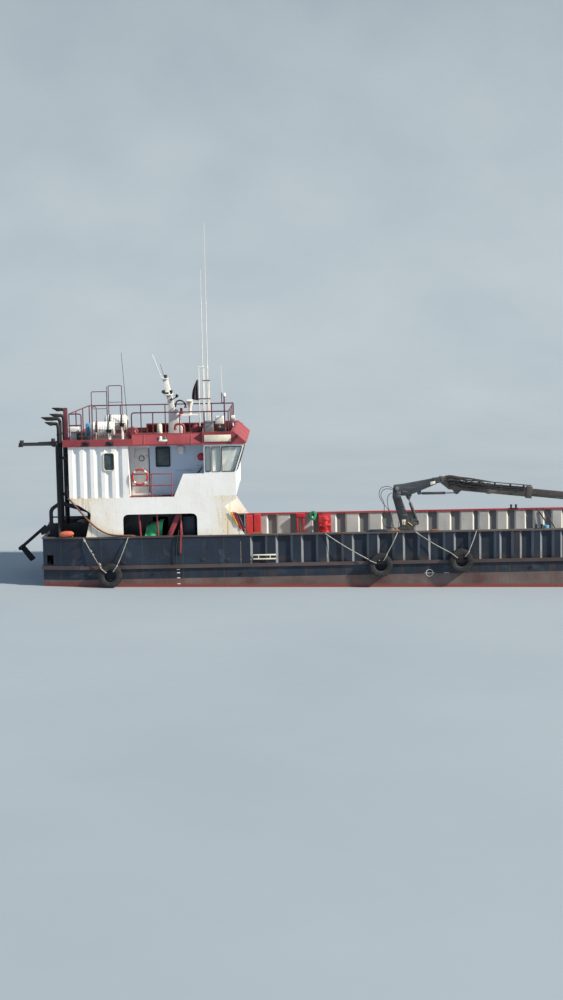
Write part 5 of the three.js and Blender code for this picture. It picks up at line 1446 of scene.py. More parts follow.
class BARGE_OT_gallery(bpy.types.Operator):
    """Posts, locker, machine under its tarpaulin, pipes and boxes in the galleries, and the cloths"""

    bl_idname = "barge.gallery"
    bl_label = "Gallery fittings"

    def execute(self, context):
        posts = [
            rod((-12.93, -4.02, 4.55), (-12.8, -4.02, 2.102), 0.045),
            rod((-12.14, -4, 5.085), (-12.05, -4, 2.102), 0.045),
            rod((-11.09, -4, 5.085), (-10.98, -4, 2.102), 0.045),
            rod((-12.93, -4.02, 4.53), (-12.12, -4, 4.62), 0.03, sides=8),
            post(-15, -4.05, 5.085, 2.102, 0.045),
        ]
        other = [mirrored(piece) for piece in posts]
        finished(posts, "gallery_posts_starboard", "red")
        finished(other, "gallery_posts_port", "red")
        finished([
            slab((-10.99, -3.66, 2.102), (-10.42, -3.2, 4.23), 0.03, 3),
            slab((-10.95, -3.68, 3.4), (-10.46, -3.655, 4.15), 0.006),
            slab((-10.95, -3.68, 2.25), (-10.46, -3.655, 3.3), 0.006),
        ], "gallery_locker", "blue")
        finished([
            slab((-12.72, -3.7, 2.102), (-11.92, -3.02, 3.28), 0.04, 3),
            slab((-12.52, -3.58, 3.27), (-12.02, -3.1, 3.74), 0.05, 3),
        ], "covered_machine", "dark")

        def tarpaulin(down, share):
            crest = 3.8 + 0.3 * share
            x = -12.66 + 0.86 * share - 0.1 * down + 0.05 * math.sin(9 * share + 3 * down)
            if down < 0.35:
                return x, -3.06 - 0.52 * down / 0.35, crest - 0.02 * math.sin(14 * share)
            fall = (down - 0.35) / 0.65
            y = -3.58 - 0.16 * math.sin(fall * 1.5) - 0.035 * fall * math.sin(16 * share + 1.2)
            return x, y, crest - 0.03 - fall * (0.52 + 0.24 * share + 0.03 * math.sin(11 * share))

        cloth("gallery_tarpaulin", 14, 21, tarpaulin, "tarpaulin")
        line = [(-11.05, -4.16, 3.95), (-11.05, -4.27, 3.79), (-11.09, -4.27, 2.68), (-11.1, -4.19, 2.6)]
        clamp = slab((-11.13, -4.275, 3.3), (-11.02, -4.2, 3.35), 0.004)
        finished([pipe(line, 0.032, 0.06, 12), clamp], "overboard_pipe", "red")
        line = [(-11.13, -4.19, 3.74), (-11.14, -4.285, 3.66), (-11.26, -4.29, 3), (-11.31, -4.27, 2.17)]
        finished([pipe(line, 0.024, 0.1, 10)], "drain_hose", "sleeve")
        for name, finish, start, width, fall, out in (
            ("gusset_cloth_red", "signal", -8.74, 0.2, 0.78, 0),
            ("gusset_cloth_yellow", "yellow", -8.86, 0.1, 0.62, 0.012),
            ("gusset_cloth_dark", "flag", -8.6, 0.12, 0.66, 0.02),
        ):

            def place(down, share):
                x = start + width * (1 + 0.3 * down) * share + 0.3 * down
                z = 4.5 - 0.22 * (start + 8.86) - 0.06 * share - fall * down
                return x, -4.226 - out - 0.016 * math.sin(9 * share + 5 * down) - 0.01, z

            cloth(name, 12, 12, place, finish)
        finished([
            slab((-14.6, -3.5, 2.102), (-13.95, -2.92, 2.95), 0.03, 3),
            post(-13.6, -3.3, 2.102, 3.1, 0.16, sides=20, ease=0.02),
        ], "gallery_boxes", "dark")
        return {"FINISHED"}


# X and Z of the winch drum's axis
WINCH_AXIS = (-15.8, 3.56)


class BARGE_OT_stern_gear(bpy.types.Operator):
    """Anchor chain, winch rope, buoy, davit tackle and bitts at the stern"""

    bl_idname = "barge.stern_gear"
    bl_label = "Stern gear"

    def execute(self, context):
        x, z = WINCH_AXIS
        turn = [(0.3, -0.036), (0.345, -0.02), (0.355, 0), (0.345, 0.02), (0.3, 0.036)]
        layers = [lathe(turn, (x, -2.9 + 1.6 * layer / 23, z), (0, 1, 0)) for layer in range(24)]
        finished(layers, "winch_rope_layers", "rope", "winch_drum")
        knobs = []
        for y in (-2.965, -1.235):
            for a, b in circle(6, 0.37):
                knobs.append(rod((x + a, y - 0.035, z + b), (x + a, y + 0.035, z + b), 0.03, sides=8))
        finished(knobs, "winch_bolts", "gear", "winch_drum")
        finished([
            slab((-16.15, -1.06, 2.96), (-15.55, -0.72, 3.86), 0.03, 3),
            rod((x, -0.73, z), (x, -0.4, z), 0.16, sides=20, ease=0.02),
            slab((-16.1, -1.05, 2.101), (-15.6, -0.75, 2.98), 0.015),
        ], "winch_drive", "gear")
        chain = []
        for step in range(9):
            share = step / 8
            place = Vector((-17.5 + 0.62 * share, 0, 3.6 - 0.03 * math.sin(math.pi * share)))
            link = [(a, 0.56 * b, 0) if step % 2 else (a, 0, 0.56 * b) for a, b in circle(12, 0.075)]
            chain.append(pipe([place + Vector(point) for point in link], 0.013, 0, 6, closed=True))
        finished(chain, "anchor_chain", "rub")
        line = [(-17.6, -0.07, 3.52), (-17.53, -0.07, 3.6), (-17.53, 0.07, 3.6), (-17.6, 0.07, 3.52)]
        finished([pipe(line, 0.018, 0.04)], "anchor_shackle", "rub")
        finished([
            post(-16.7, -3.72, 7.7, 7.86, 0.09, sides=16, ease=0.015),
            rod((-18.1, -3.81, 7.66), (-18.1, -3.63, 7.66), 0.085, sides=16, ease=0.012),
            slab((-18.2, -3.76, 7.6), (-18.02, -3.68, 7.8), 0.01),
            rod((-16.64, -3.72, 7.5), (-16.92, -3.72, 7.62), 0.04, sides=10),
        ], "davit_tackle", "gear", "davit_boom")
        buoy = [(0, -0.32), (0.06, -0.31), (0.12, -0.22), (0.145, 0), (0.12, 0.22), (0.06, 0.31), (0, 0.32)]
        finished([lathe(buoy, (-16.19, -4.03, 3.57), (1, 0, 0.05), 24)], "rail_buoy", "orange")
        posts = []
        for x, y in ((-16.9, 2.9), (-16.4, 2.9), (-16.9, 1.2), (-16.4, 1.2)):
            posts.append(post(x, y, ON_DECK_Z, 2.72, 0.11, sides=20, ease=0.02))
            posts.append(post(x, y, 2.7, 2.75, 0.14, sides=20, ease=0.01))
            near, far = (x - 0.3, y - 0.18), (x + 0.3, y + 0.18)
            posts.append(slab((*near, ON_DECK_Z), (*far, ON_DECK_Z + 0.021), 0.004))
        finished(posts, "stern_bitts", "gear")
        return {"FINISHED"}


# Hoops that stand over the rafts: Y, ends in X, top and foot of each
HOOPS = ((-1, -15.25, -14.54, 9.81, ROOF_DECK_Z + 0.0005), (1.5, -14.72, -14.08, 9.99, ROOF_DECK_Z))


class BARGE_OT_roof_fittings(bpy.types.Operator):
    """Boxes, hoops, posts, lamps, horn and small aerials on the roof"""

    bl_idname = "barge.roof_fittings"
    bl_label = "Roof fittings"

    def execute(self, context):
        foot = ROOF_DECK_Z + 0.0005
        finished([
            slab((-16.19, -3.91, 7.8), (-16, -3.84, 9.23), 0.008),
            slab((-16.14, -3.92, 7.562), (-15.98, -3.8, 7.82), 0.01),
        ], "rail_board", "maroon")
        finished([
            slab((-16.18, -2.72, 8.06), (-15.68, -2.28, 8.28), 0.03, 3),
            slab((-16.05, -2.6, foot), (-15.82, -2.4, 8.07), 0.01),
            slab((-9.47, -2.75, 8.3), (-9.07, -2.4, 8.67), 0.04, 3),
            post(-9.27, -2.58, foot, 8.32, 0.035),
            post(-9, -3.7, 9.6, 9.75, 0.085, 0.06, 16, 0.015),
        ], "roof_boxes_white", "white")
        finished([slab((-15.32, -2.95, foot), (-15.15, -2.65, 8.46), 0.03, 3)], "roof_box_blue", "cyan")
        finished([
            slab((-10, -2.85, foot), (-9.55, -2.4, 8.44), 0.03, 3),
            slab((-9.98, -2.87, 8.38), (-9.57, -2.38, 8.46), 0.01),
            post(-14.37, -2.4, foot, 10.1, 0.026, sides=10),
            lathe(disc(0.07, 0.014), (-14.37, -2.4, foot), steps=12),
        ], "roof_box_grey", "steel")
        finished([
            slab((-9.36, -3.3, foot), (-8.95, -2.95, 8.18), 0.04, 3),
            slab((-15.62, -3.55, foot), (-15.1, -3.15, 7.92), 0.03, 3),
            slab((-15.95, -1.6, foot), (-15.5, -0.9, 7.98), 0.03, 3),
        ], "roof_boxes_dark", "dark")
        finished([
            post(-11.95, -3.3, foot, 7.96, 0.03, sides=10),
            post(-11.95, -3.3, 7.94, 8.36, 0.115, sides=24, ease=0.02),
            post(-11.95, -3.3, 8.35, 8.41, 0.08, sides=24, ease=0.012),
        ], "roof_bottle", "curtain")
        hoops = []
        for y, aft, fore, top, low in HOOPS:
            for x in (aft, fore):
                hoops.append(post(x, y, low, top - 0.05, 0.019, sides=8))
                hoops.append(lathe(disc(0.06, 0.012), (x, y, foot), steps=10))
            line = [(aft, y, top - 0.12), (aft, y, top), (fore, y, top), (fore, y, top - 0.12)]
            hoops.append(pipe(line, 0.019, 0.06))
            hoops.append(rod((aft, y, top - 0.79), (fore, y, top - 0.79), 0.014, sides=8))
        line = [(-14.9, foot), (-14.9, 9.25), (-14.71, 9.25), (-14.71, foot)]
        hoops.append(pipe([(x, -RAIL_Y, z) for x, z in line], 0.02, 0.09))
        finished(hoops, "roof_hoops", "maroon")
        finished([
            lamp((-11.86, 0.1, 10.33), (0, 0, 1), 0.075, 0.17),
            post(-11.8, -0.42, 9.62, 9.7, 0.03, sides=8),
            lamp((-12.02, -0.42, 9.74), (1, 0, -0.15), 0.085, 0.14),
            slab((-11.92, -0.46, 9.6), (-11.7, -0.38, 9.7), 0.006),
            lamp((-11.58, -0.5, 9.62), (0, 0, 1), 0.07, 0.18),
            lamp((-11.36, -0.3, 9.44), (0.4, 0, 1), 0.07, 0.15),
            rod((-11.52, -0.28, 9.36), (-11.33, -0.3, 9.48), 0.022, sides=8),
            rod((-11.75, -0.1, 9.3), (-11.5, -0.28, 9.38), 0.022, sides=8),
            lamp((-11.86, 0.45, 9.62), (0, 0, 1), 0.07, 0.16),
        ], "mast_lamps", "gear")
        finished([
            slab((-11.95, -0.28, 10.3), (-11.74, 0.28, 10.34), 0.005),
            rod((-12.44, -0.15, 11.45), (-12.02, -0.15, 10.32), 0.02, 0.016, 8),
            rod((-12.02, -0.15, 10.36), (-11.9, -0.12, 10.32), 0.02, sides=8),
        ], "mast_head", "white")
        finished([
            rod((-13.71, -2, 11.61), (-13.51, -2, 8.42), 0.008, 0.014, 6),
            rod((-13.51, -2, 8.44), (-13.5, -2, foot), 0.024, sides=8),
            rod((-12.1, 0.15, 11), (-11.9, 0.15, 10.3), 0.009, 0.012, 6),
        ], "thin_aerials", "dark")
        line = [(-11.4, -0.3, 9.02), (-11.37, -0.4, 9.27), (-11.15, -0.42, 9.33)]
        line += [(-10.96, -0.42, 9.2), (-10.93, -0.42, 9.05)]
        finished([
            pipe(line, 0.035, 0.12, 10),
            post(-10.93, -0.42, 9.07, 8.96, 0.04, 0.075, 14),
            rod((-11.4, -0.17, 9.02), (-11.4, -0.34, 9.02), 0.03, sides=8),
        ], "mast_horn", "dark")
        finished([
            post(-11.14, -0.32, 8.7, 8.95, 0.065, sides=14, ease=0.01),
            slab((-11.2, -0.32, 8.67), (-11.05, -0.15, 8.72), 0.005),
        ], "mast_red_bottle", "signal")
        finished([
            post(-10.22, -1.6, foot, 10.88, 0.028, 0.022, 10),
            post(-9.98, -1.6, foot, 10.88, 0.028, 0.022, 10),
            rod((-10.24, -1.6, 10.86), (-9.96, -1.6, 10.86), 0.03, sides=10),
            post(-9.76, -1.6, foot, 10.28, 0.034, 0.026, 10),
            rod((-9.09, -3.5, 9.74), (-9.12, -3.5, 11), 0.012, 0.008, 6),
        ], "aerial_poles", "fibre")
        finished([
            slab((-10.06, -1.64, 10.24), (-9.7, -1.56, 10.28), 0.005),
            slab((-10.26, -1.64, 9.4), (-9.7, -1.56, 9.44), 0.005),
            slab((-10.26, -1.66, 8.1), (-9.7, -1.54, 8.16), 0.005),
            post(-9, -3.7, foot, 9.62, 0.032, sides=10),
            post(-9.12, -3.5, 9.3, 9.76, 0.02, sides=8),
            slab((-9.14, -3.72, 9.28), (-8.98, -3.48, 9.33), 0.005),
        ], "pole_bands", "maroon")

        def place(down, share):
            width = 0.05 + 0.24 * math.sin(min(1, down * 1.15) * math.pi / 2)
            y = -1.63 - 0.05 * math.sin(math.pi * 4 * share + down) * (0.4 + share)
            return -10.26 - width * share, y, 10.3 - 0.96 * down + 0.06 * share * down

        cloth("furled_flag", 11, 14, place, "flag")
        raft_lines = []
        for _, x, y, z, radius in RAFTS:
            ring = [(x + 0.53, y + a, z + b) for a, b in circle(14, 0.1)]
            raft_lines.append(pipe(ring, 0.012, 0, 6, closed=True))
            face = y - radius
            low, high = (x + 0.18, face - 0.012, z - 0.16), (x + 0.4, face + 0.05, z - 0.02)
            raft_lines.append(slab(low, high, 0.006))
        finished(raft_lines, "raft_labels_and_lines", "dark")
        ribs = []
        for side in (-1, 1):
            for x in (-12.6, -11.55, -10.5):
                outline = [(4.285, 7.5), (4.275, 7.56), (4.012, 7.965), (3.99, 7.94), (4.24, 7.54)]
                ribs.append(plate([(side * y, z) for y, z in outline], x - 0.03, x + 0.03, 0, 0.004))
        finished(ribs, "slope_ribs", "roof")
        finished([
            post(-8.75, 0, 8.05, 8.3, 0.04, sides=10),
            lamp((-8.88, 0, 8.4), (1, 0, 0), 0.16, 0.24),
        ], "searchlight", "white")
        return {"FINISHED"}


class BARGE_OT_bulwark_gear(bpy.types.Operator):
    """Lockers, ropes, bitts, pads and boards at the bulwarks"""

    bl_idname = "barge.bulwark_gear"
    bl_label = "Gear at the bulwarks"

    def execute(self, context):
        finished([
            slab((-8.3, 3.62, ON_DECK_Z), (-7.98, 4.02, 3.36), 0.02, 3),
            slab((-7.92, 3.66, ON_DECK_Z), (-7.58, 4.04, 3.42), 0.02, 3),
            slab((-5.83, 3.78, 3.2), (-5.39, 4.06, 3.4), 0.02, 3),
            slab((-5.8, 3.8, ON_DECK_Z), (-5.72, 4.04, 3.21), 0.008),
            slab((-5.5, 3.8, ON_DECK_Z), (-5.42, 4.04, 3.21), 0.008),
        ], "far_lockers", "signal")
        x, y = -4.4, 3.7
        cap = [(0, 0), (0.2, 0), (0.2, 0.05), (0.15, 0.07), (0.15, 0.14), (0, 0.2)]
        finished([
            post(x, y, ON_DECK_Z, 2.55, 0.2, sides=20, ease=0.02),
            post(x, y, 2.54, 3.1, 0.13, sides=20, ease=0.02),
            rod((x - 0.28, y, 2.8), (x + 0.28, y, 2.8), 0.1, sides=16, ease=0.015),
            lathe(cap, (x, y, 3.09), steps=20),
            rod((x, 3.5, 2.8), (x, y, 2.8), 0.08, sides=16),
            slab((-4.72, 4, 2.39), (-4.1, 4.05, 3.31), 0.008),
            rod((x, 3.72, 2.8), (x, 4.01, 2.8), 0.05),
        ], "far_pump", "signal")
        bitts = []
        for side in (-1, 1):
            for x in (5, 12.4):
                y = side * 4.09
                for shift in (-0.12, 0.12):
                    bitts.append(post(x + shift, y, 3.431, 3.6, 0.05, sides=14))
                    bitts.append(post(x + shift, y, 3.59, 3.62, 0.065, sides=14))
                bitts.append(slab((x - 0.24, y - 0.09, ON_RAIL_Z), (x + 0.24, y + 0.09, 3.447), 0.004))
        finished(bitts, "rail_bitts", "gear")
        finished([
            rod((6.15, 3.98, 3.42), (6.97, 3.8, 2.12), 0.035, sides=10),
            rod((6.45, 3.98, 3.42), (7.2, 3.8, 2.12), 0.028, sides=10),
        ], "far_bars", "gear")
        drum = [post(6.53, 3.6, ON_DECK_Z, 2.62, 0.16, sides=24, ease=0.03)]
        finished(drum, "far_drum", "cyan")
        pads = []
        for x0, x1 in ((-7.83, -7.4), (-1.85, -1.24), (0.15, 0.42)):
            pads.append(slab((x0, -4.235, ON_RAIL_Z), (x1, -4.03, 3.49), 0.02, 3))
        finished(pads, "rail_pads", "wood")
        finished([
            slab((-7.84, -4.245, 2.46), (-6.82, -4.201, 2.52), 0.006),
            slab((-7.84, -4.245, 2.28), (-6.82, -4.201, 2.34), 0.006),
            slab((-7.62, -4.235, 2.3), (-7.58, -4.205, 2.5), 0.003),
            slab((-7.1, -4.235, 2.3), (-7.06, -4.205, 2.5), 0.003),
        ], "bulwark_ladder", "board")
        finished([
            slab((-2.68, -4.2, ON_RAIL_Z), (-1.56, -4.03, 3.5), 0.008),
            slab((-2.6, -4.18, 3.498), (-1.9, -4.05, 3.53), 0.006),
        ], "rail_plank", "blue")
        coil = [(-5.02, 4.04, 3.445)]
        for step in range(1, 106):
            turn = math.tau * step / 15
            sway = 0.025 * math.sin(step * 0.83)
            loop = 0.08 + 0.1 * abs(math.sin(step / 31))
            x = -5.02 + (loop + sway) * math.sin(turn)
            y = 4.02 - 0.0016 * step + 0.02 * math.cos(turn)
            coil.append((x, y, 3.28 + (loop + 0.03) * math.cos(turn) + sway))
        laid_cord("coiled_mooring_rope", coil, 0.045, "green_rope", steps=2)
        knots = []
        form = [(0, -1.3), (0.56, -0.9), (0.8, 0), (0.6, 0.8), (0, 1.2)]
        for share, size in ((0.06, 0.075), (0.42, 0.07), (0.55, 0.06), (0.93, 0.075)):
            for side in (-1, 1):
                spot = Vector((-15.42, side * 4.3, 3.36)).lerp(Vector((-14.66, side * 4.43, 2.14)), share)
                spot.z -= 0.12 * share * (1 - share)
                knots.append(lathe([(r * size, h * size) for r, h in form], spot, (0.5, 0, -0.85), 12))
        finished(knots, "rope_knots", "rope")
        return {"FINISHED"}


class BARGE_OT_hull_marks(bpy.types.Operator):
    """Load-line mark, plain draught dashes, outlet flanges, openings near the deck as black slabs of
    painted shade, and anodes on the hull
    """

    bl_idname = "barge.hull_marks"
    bl_label = "Marks and outlets"

    def execute(self, context):
        white, port_shade_and_flanges, anodes = [], [], []
        for side in (-1, 1):
            y = side * 4.2
            ring = [(0.142, -0.004), (0.165, -0.004), (0.165, 0.006), (0.142, 0.006)]
            white.append(lathe(ring, (0.06, y, 1.53), (0, side, 0), 32))
            low, high = y - side * 0.004, y + side * 0.005
            white.append(slab((-0.16, low, 1.52), (0.28, high, 1.54), 0.001))
            white.append(slab((0.71, low, 1.512), (0.93, high, 1.53), 0.001))
            for x in (-11.21, 13):
                for z in (1.25, 1.52, 1.75, 1.9):
                    white.append(slab((x - 0.07, low, z - 0.02), (x + 0.07, high, z + 0.02), 0.001))
            # Openings near deck level: black slabs on the plating, painted shade in place of the holes
            low, high = y - side * 0.02, y + side * 0.012
            for x, z in ((-13.67, 2.25), (-10.1, 2.32), (-9, 2.3)):
                port_shade_and_flanges.append(slab((x - 0.11, low, z - 0.07), (x + 0.11, high, z + 0.07), 0.004))
            for x, z in ((-12.35, 1.72), (-8.4, 1.66), (4.6, 1.7)):
                pipe_ring = [(0.045, -0.01), (0.07, -0.01), (0.07, 0.03), (0.045, 0.03)]
                port_shade_and_flanges.append(lathe(pipe_ring, (x, y, z), (0, side, 0), 20))
            for x in (-12, -7, -2, 3, 8):
                near, far = (x - 0.18, y - side * 0.003), (x + 0.18, y + side * 0.035)
                anodes.append(slab((*near, 0.62), (*far, 0.74), 0.015, 3))
        finished(white, "hull_marks", "fibre")
        finished(port_shade_and_flanges, "hull_flanges_and_port_shade", "gear")
        finished(anodes, "hull_anodes", "steel")
        return {"FINISHED"}


class BARGE_OT_deck_fittings(bpy.types.Operator):
    """Hatches, manholes, lashing sockets, bitts and vents on the cargo deck"""

    bl_idname = "barge.deck_fittings"
    bl_label = "Deck fittings"

    def execute(self, context):
        foot = DECK_Z + 0.0005
        hatches, dogs, sockets, bitts, vents = [], [], [], [], []
        for x, y in ((-6.5, 1.9), (-6.5, -1.9), (1.5, 1.9), (1.5, -1.9), (9.5, 1.9), (9.5, -1.9)):
            lid = [(0, 0), (0.36, 0), (0.36, 0.012), (0.31, 0.02), (0.31, 0.034), (0, 0.036)]
            hatches.append(lathe(lid, (x, y, foot)))
            for a, b in circle(12, 0.335):
                dogs.append(post(x + a, y + b, foot + 0.01, foot + 0.034, 0.014, sides=6))
        for x in range(-7, 13, 2):
            for y in (-2.8, -0.95, 0.95, 2.8):
                ring = [(0.06, 0), (0.1, 0), (0.09, 0.016), (0.06, 0.016)]
                sockets.append(lathe(ring, (x, y, foot), steps=16))
                bar = foot + 0.008
                sockets.append(rod((x - 0.065, y, bar), (x + 0.065, y, bar), 0.008, sides=6))
        for side in (-1, 1):
            for x in (10.9, 13.6):
                y = side * 3.1
                for shift in (-0.24, 0.24):
                    bitts.append(post(x + shift, y, foot, 2.62, 0.11, sides=20))
                    bitts.append(post(x + shift, y, 2.6, 2.65, 0.14, sides=20, ease=0.01))
                bitts.append(slab((x - 0.45, y - 0.17, foot), (x + 0.45, y + 0.17, foot + 0.02), 0.004))
            for x in (-5.2, 3, 8.8):
                y = side * 3.85
                line = [(x, y, foot), (x, y, 2.42), (x + 0.22, y, 2.42), (x + 0.22, y, 2.28)]
                vents.append(pipe(line, 0.045, 0.11, 12))
                vents.append(lathe(disc(0.09, 0.015), (x, y, foot), steps=14))
        finished(hatches, "deck_manholes", "hull")
        finished(dogs, "manhole_bolts", "rub")
        finished(sockets, "lashing_sockets", "rub")
        finished(bitts, "fore_bitts", "gear")
        finished(vents, "tank_vents", "gear")
        return {"FINISHED"}


# Middle of the bow ramp's hinge, and how the ramp leans at rest; its bars are made flat and then tilted
RAMP_HINGE = (16.96, 0, 2)
RAMP_LEAN = math.radians(-68)


class BARGE_OT_bow_ramp(bpy.types.Operator):
    """Non-skid bars, side lugs and a wear strip on the bow ramp"""

    bl_idname = "barge.bow_ramp"
    bl_label = "Bow ramp"

    def execute(self, context):
        refined("bow_ramp", 0.008, finish="blue")
        tilt = Matrix.Translation(RAMP_HINGE) @ Matrix.Rotation(RAMP_LEAN, 4, "Y")
        bars = []
        for step in range(11):
            reach = 0.68 + 0.31 * step
            for y in (-1.9, -0.65, 0.65, 1.9):
                bars.append(slab((reach, y - 0.5, 0.045), (reach + 0.035, y + 0.5, 0.066), 0.004))
        bars.append(slab((3.98, -2.7, -0.1), (4.105, 2.7, 0.06), 0.01))
        for y in (-2.782, 2.782):
            for reach in (1.7, 2.9, 3.8):
                bars.append(slab((reach - 0.06, y - 0.02, 0.02), (reach + 0.06, y + 0.02, 0.14), 0.004))
        piece = joined(bars)
        piece.data.transform(tilt)
        finished([piece], "ramp_bars", "rub", "bow_ramp")
        return {"FINISHED"}


# Screws: middle of the hub, radius, chord and pitch angle at each station of a blade, and its thickness
SCREW_MIDDLE = (-14.15, 1.9, 0.43)
BLADE_STATIONS = (
    (0.07, 0.15, 62),
    (0.12, 0.2, 50),
    (0.18, 0.25, 40),
    (0.25, 0.28, 32),
    (0.31, 0.26, 27),
    (0.355, 0.17, 24),
    (0.376, 0.07, 23),
)
BLADE_THICKNESS = 0.016


class BARGE_OT_screws(bpy.types.Operator):
    """Four-bladed screws with twisted blades and a hub with its cone"""

    bl_idname = "barge.screws"
    bl_label = "Screws"

    def execute(self, context):
        bpy.ops.mesh.primitive_grid_add(x_subdivisions=4, y_subdivisions=len(BLADE_STATIONS) - 1)
        blade = bpy.context.object
        for number, vertex in enumerate(blade.data.vertices):
            radius, chord, pitch = BLADE_STATIONS[number // 5]
            reach = chord * (number % 5 - 2) / 4
            angle = math.radians(pitch)
            turn = reach * math.cos(angle) / radius
            vertex.co = (reach * math.sin(angle), radius * math.sin(turn), radius * math.cos(turn))
        altered(blade, "SOLIDIFY", thickness=BLADE_THICKNESS, offset=0)
        eased(blade, 0.004)
        cleaned(blade)
        x, y, z = SCREW_MIDDLE
        for name, side in SIDES:
            turn_in = Matrix.Scale(side, 4, (0, 1, 0))
            pieces = []
            for step in range(4):
                turn = Matrix.Rotation(math.tau * step / 4, 4, "X") @ turn_in
                pieces.append(copied(blade, (x, side * y, z), turn))
            hub = [(0, -0.17), (0.085, -0.16), (0.095, 0), (0.085, 0.12), (0.055, 0.2), (0, 0.24)]
            pieces.append(lathe(hub, (x, side * y, z), (-1, 0, 0)))
            piece = finished(pieces, f"screw_{name}", "bronze", f"propeller_{name}", 50)
            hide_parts(f"propeller_{name}")
        bpy.data.objects.remove(blade)
        return {"FINISHED"}


# The crane's two pins at rest, and how far its outer boom slopes down
BOOM_PIN = (-1.33, -3.56, 5.33)
KNUCKLE_PIN = (0.7, -3.56, 5.69)
OUTER_TILT = math.radians(6.5)


def crane_point(reach, up, across=0):
    """Point of the outer boom, from its knuckle: along the boom, above its pin line, and to port."""
    x, y, z = KNUCKLE_PIN
    ahead, down = math.cos(OUTER_TILT), math.sin(OUTER_TILT)
    return (x + reach * ahead + up * down, y + across, z - reach * down + up * ahead)


def boom_pipe(points, radius, bend=0.2):
    """Pipe beside the outer boom, through points as crane_point takes them."""
    return pipe([crane_point(*point) for point in points], radius, bend)


class BARGE_OT_crane_fittings(bpy.types.Operator):
    """Tubes, clamps, valve block, blank labels and hook of the crane"""

    bl_idname = "barge.crane_fittings"
    bl_label = "Crane fittings"

    def execute(self, context):
        tubes = []
        for across in (-0.09, -0.045, 0):
            line = [(0.55, 0.03, across), (1, 0.07, across), (4.05, 0.09, across)]
            tubes.append(boom_pipe(line, 0.017, 0.1))
        for reach in (1.1, 1.7, 2.4, 3.1, 3.7):
            low, high = crane_point(reach - 0.03, -0.02, -0.12), crane_point(reach + 0.03, 0.09, 0.03)
            tubes.append(slab(low, high, 0.004))
        finished(tubes, "outer_boom_tubes", "gear", "crane_outer_boom")
        bundle = []
        for across, rise in ((-0.155, 0.02), (-0.165, -0.05), (-0.15, -0.12)):
            line = [(0.62, rise - 0.05), (1.2, rise - 0.1), (2, rise - 0.06), (3.75, rise - 0.02)]
            bundle.append(boom_pipe([(*point, across) for point in line], 0.021))
        for number in range(7):
            across = -0.15 - 0.012 * (number % 3)
            rise = 0.07 - 0.055 * number
            sway = 0.05 * math.sin(number * 2.1)
            line = [
                (0.16 + 0.03 * number, rise, across),
                (0.55, rise + 0.1 + sway, across - 0.05),
                (1.05, rise - 0.05 - sway, across - 0.06),
                (1.5, rise + 0.04 + sway, across - 0.03),
                (2.1 + 0.1 * number, -0.04 - 0.02 * number, -0.145),
            ]
            bundle.append(boom_pipe(line, 0.02))
        for number in range(4):
            rise = 0.02 + 0.02 * number
            across = -0.1 + 0.06 * number
            line = [(0.02, rise), (0.35, 0.12 + rise), (0.8, 0.07 + rise)]
            line += [(1.25, 0.15), (1.7 + 0.2 * number, 0.07)]
            bundle.append(boom_pipe([(*point, across) for point in line], 0.022))
        finished(bundle, "outer_boom_hoses", "sleeve", "crane_outer_boom")
        finished([
            slab(crane_point(x, -0.22, -0.17), crane_point(x + 0.05, 0.03, -0.13), 0.004)
            for x in (0.95, 1.6, 2.65, 3.4)
        ], "outer_boom_guides", "crane", "crane_outer_boom")
        end = 7.11
        x, y, z = crane_point(end, -0.6)
        shackle = [(x, y - 0.04, z), (x, y - 0.04, z - 0.08), (x, y + 0.04, z - 0.08), (x, y + 0.04, z)]
        hook = [(0, -0.14), (0.015, -0.2), (0.07, -0.27), (0.02, -0.33), (-0.06, -0.29)]
        finished([
            rod(crane_point(end, -0.6, -0.1), crane_point(end, -0.6, 0.1), 0.03),
            pipe(shackle, 0.014, 0.03),
            post(x, y, z - 0.07, z - 0.15, 0.035, sides=14, ease=0.008),
            pipe([(x + ahead, y, z + up) for ahead, up in hook], 0.018, 0.035, 10),
        ], "crane_hook", "steel", "crane_extension")
        label = [plate([(0.18, 5.44), (0.4, 5.5), (0.4, 5.62), (0.18, 5.58)], -3.706, -3.698, 1, 0.001)]
        finished(label, "boom_blank_label", "board", "crane_main_boom")
        finished([
            rod((-0.86, -3.714, 3.78), (-0.66, -3.714, 3.62), 0.018, sides=8),
        ], "column_grease_line", "yellow", "crane_column")
        pale = [slab((-1.12, -3.716, 3.66), (-0.95, -3.708, 3.9), 0.001)]
        finished(pale, "column_blank_label", "board", "crane_column")
        block = [
            slab((-1.3, -3.87, 3.2), (-0.92, -3.72, 3.58), 0.012),
            slab((-1.22, -3.735, 3.14), (-1, -3.7, 3.64), 0.006),
        ]
        for lever in range(5):
            x = -1.27 + 0.075 * lever
            block.append(rod((x, -3.8, 3.57), (x - 0.02, -3.9, 3.8), 0.009, sides=6))
            block.append(rod((x - 0.02, -3.9, 3.79), (x - 0.022, -3.91, 3.83), 0.018, sides=8))
        finished(block, "column_valve_block", "crane", "crane_column")
        x, y, z = BOOM_PIN
        caps = []
        for side in (-1, 1):
            inner, outer = (x, y + side * 0.215, z), (x, y + side * 0.245, z)
            caps.append(rod(inner, outer, 0.085, sides=18, ease=0.008))
        finished(caps, "boom_pin_caps", "steel", "crane_main_boom")
        return {"FINISHED"}


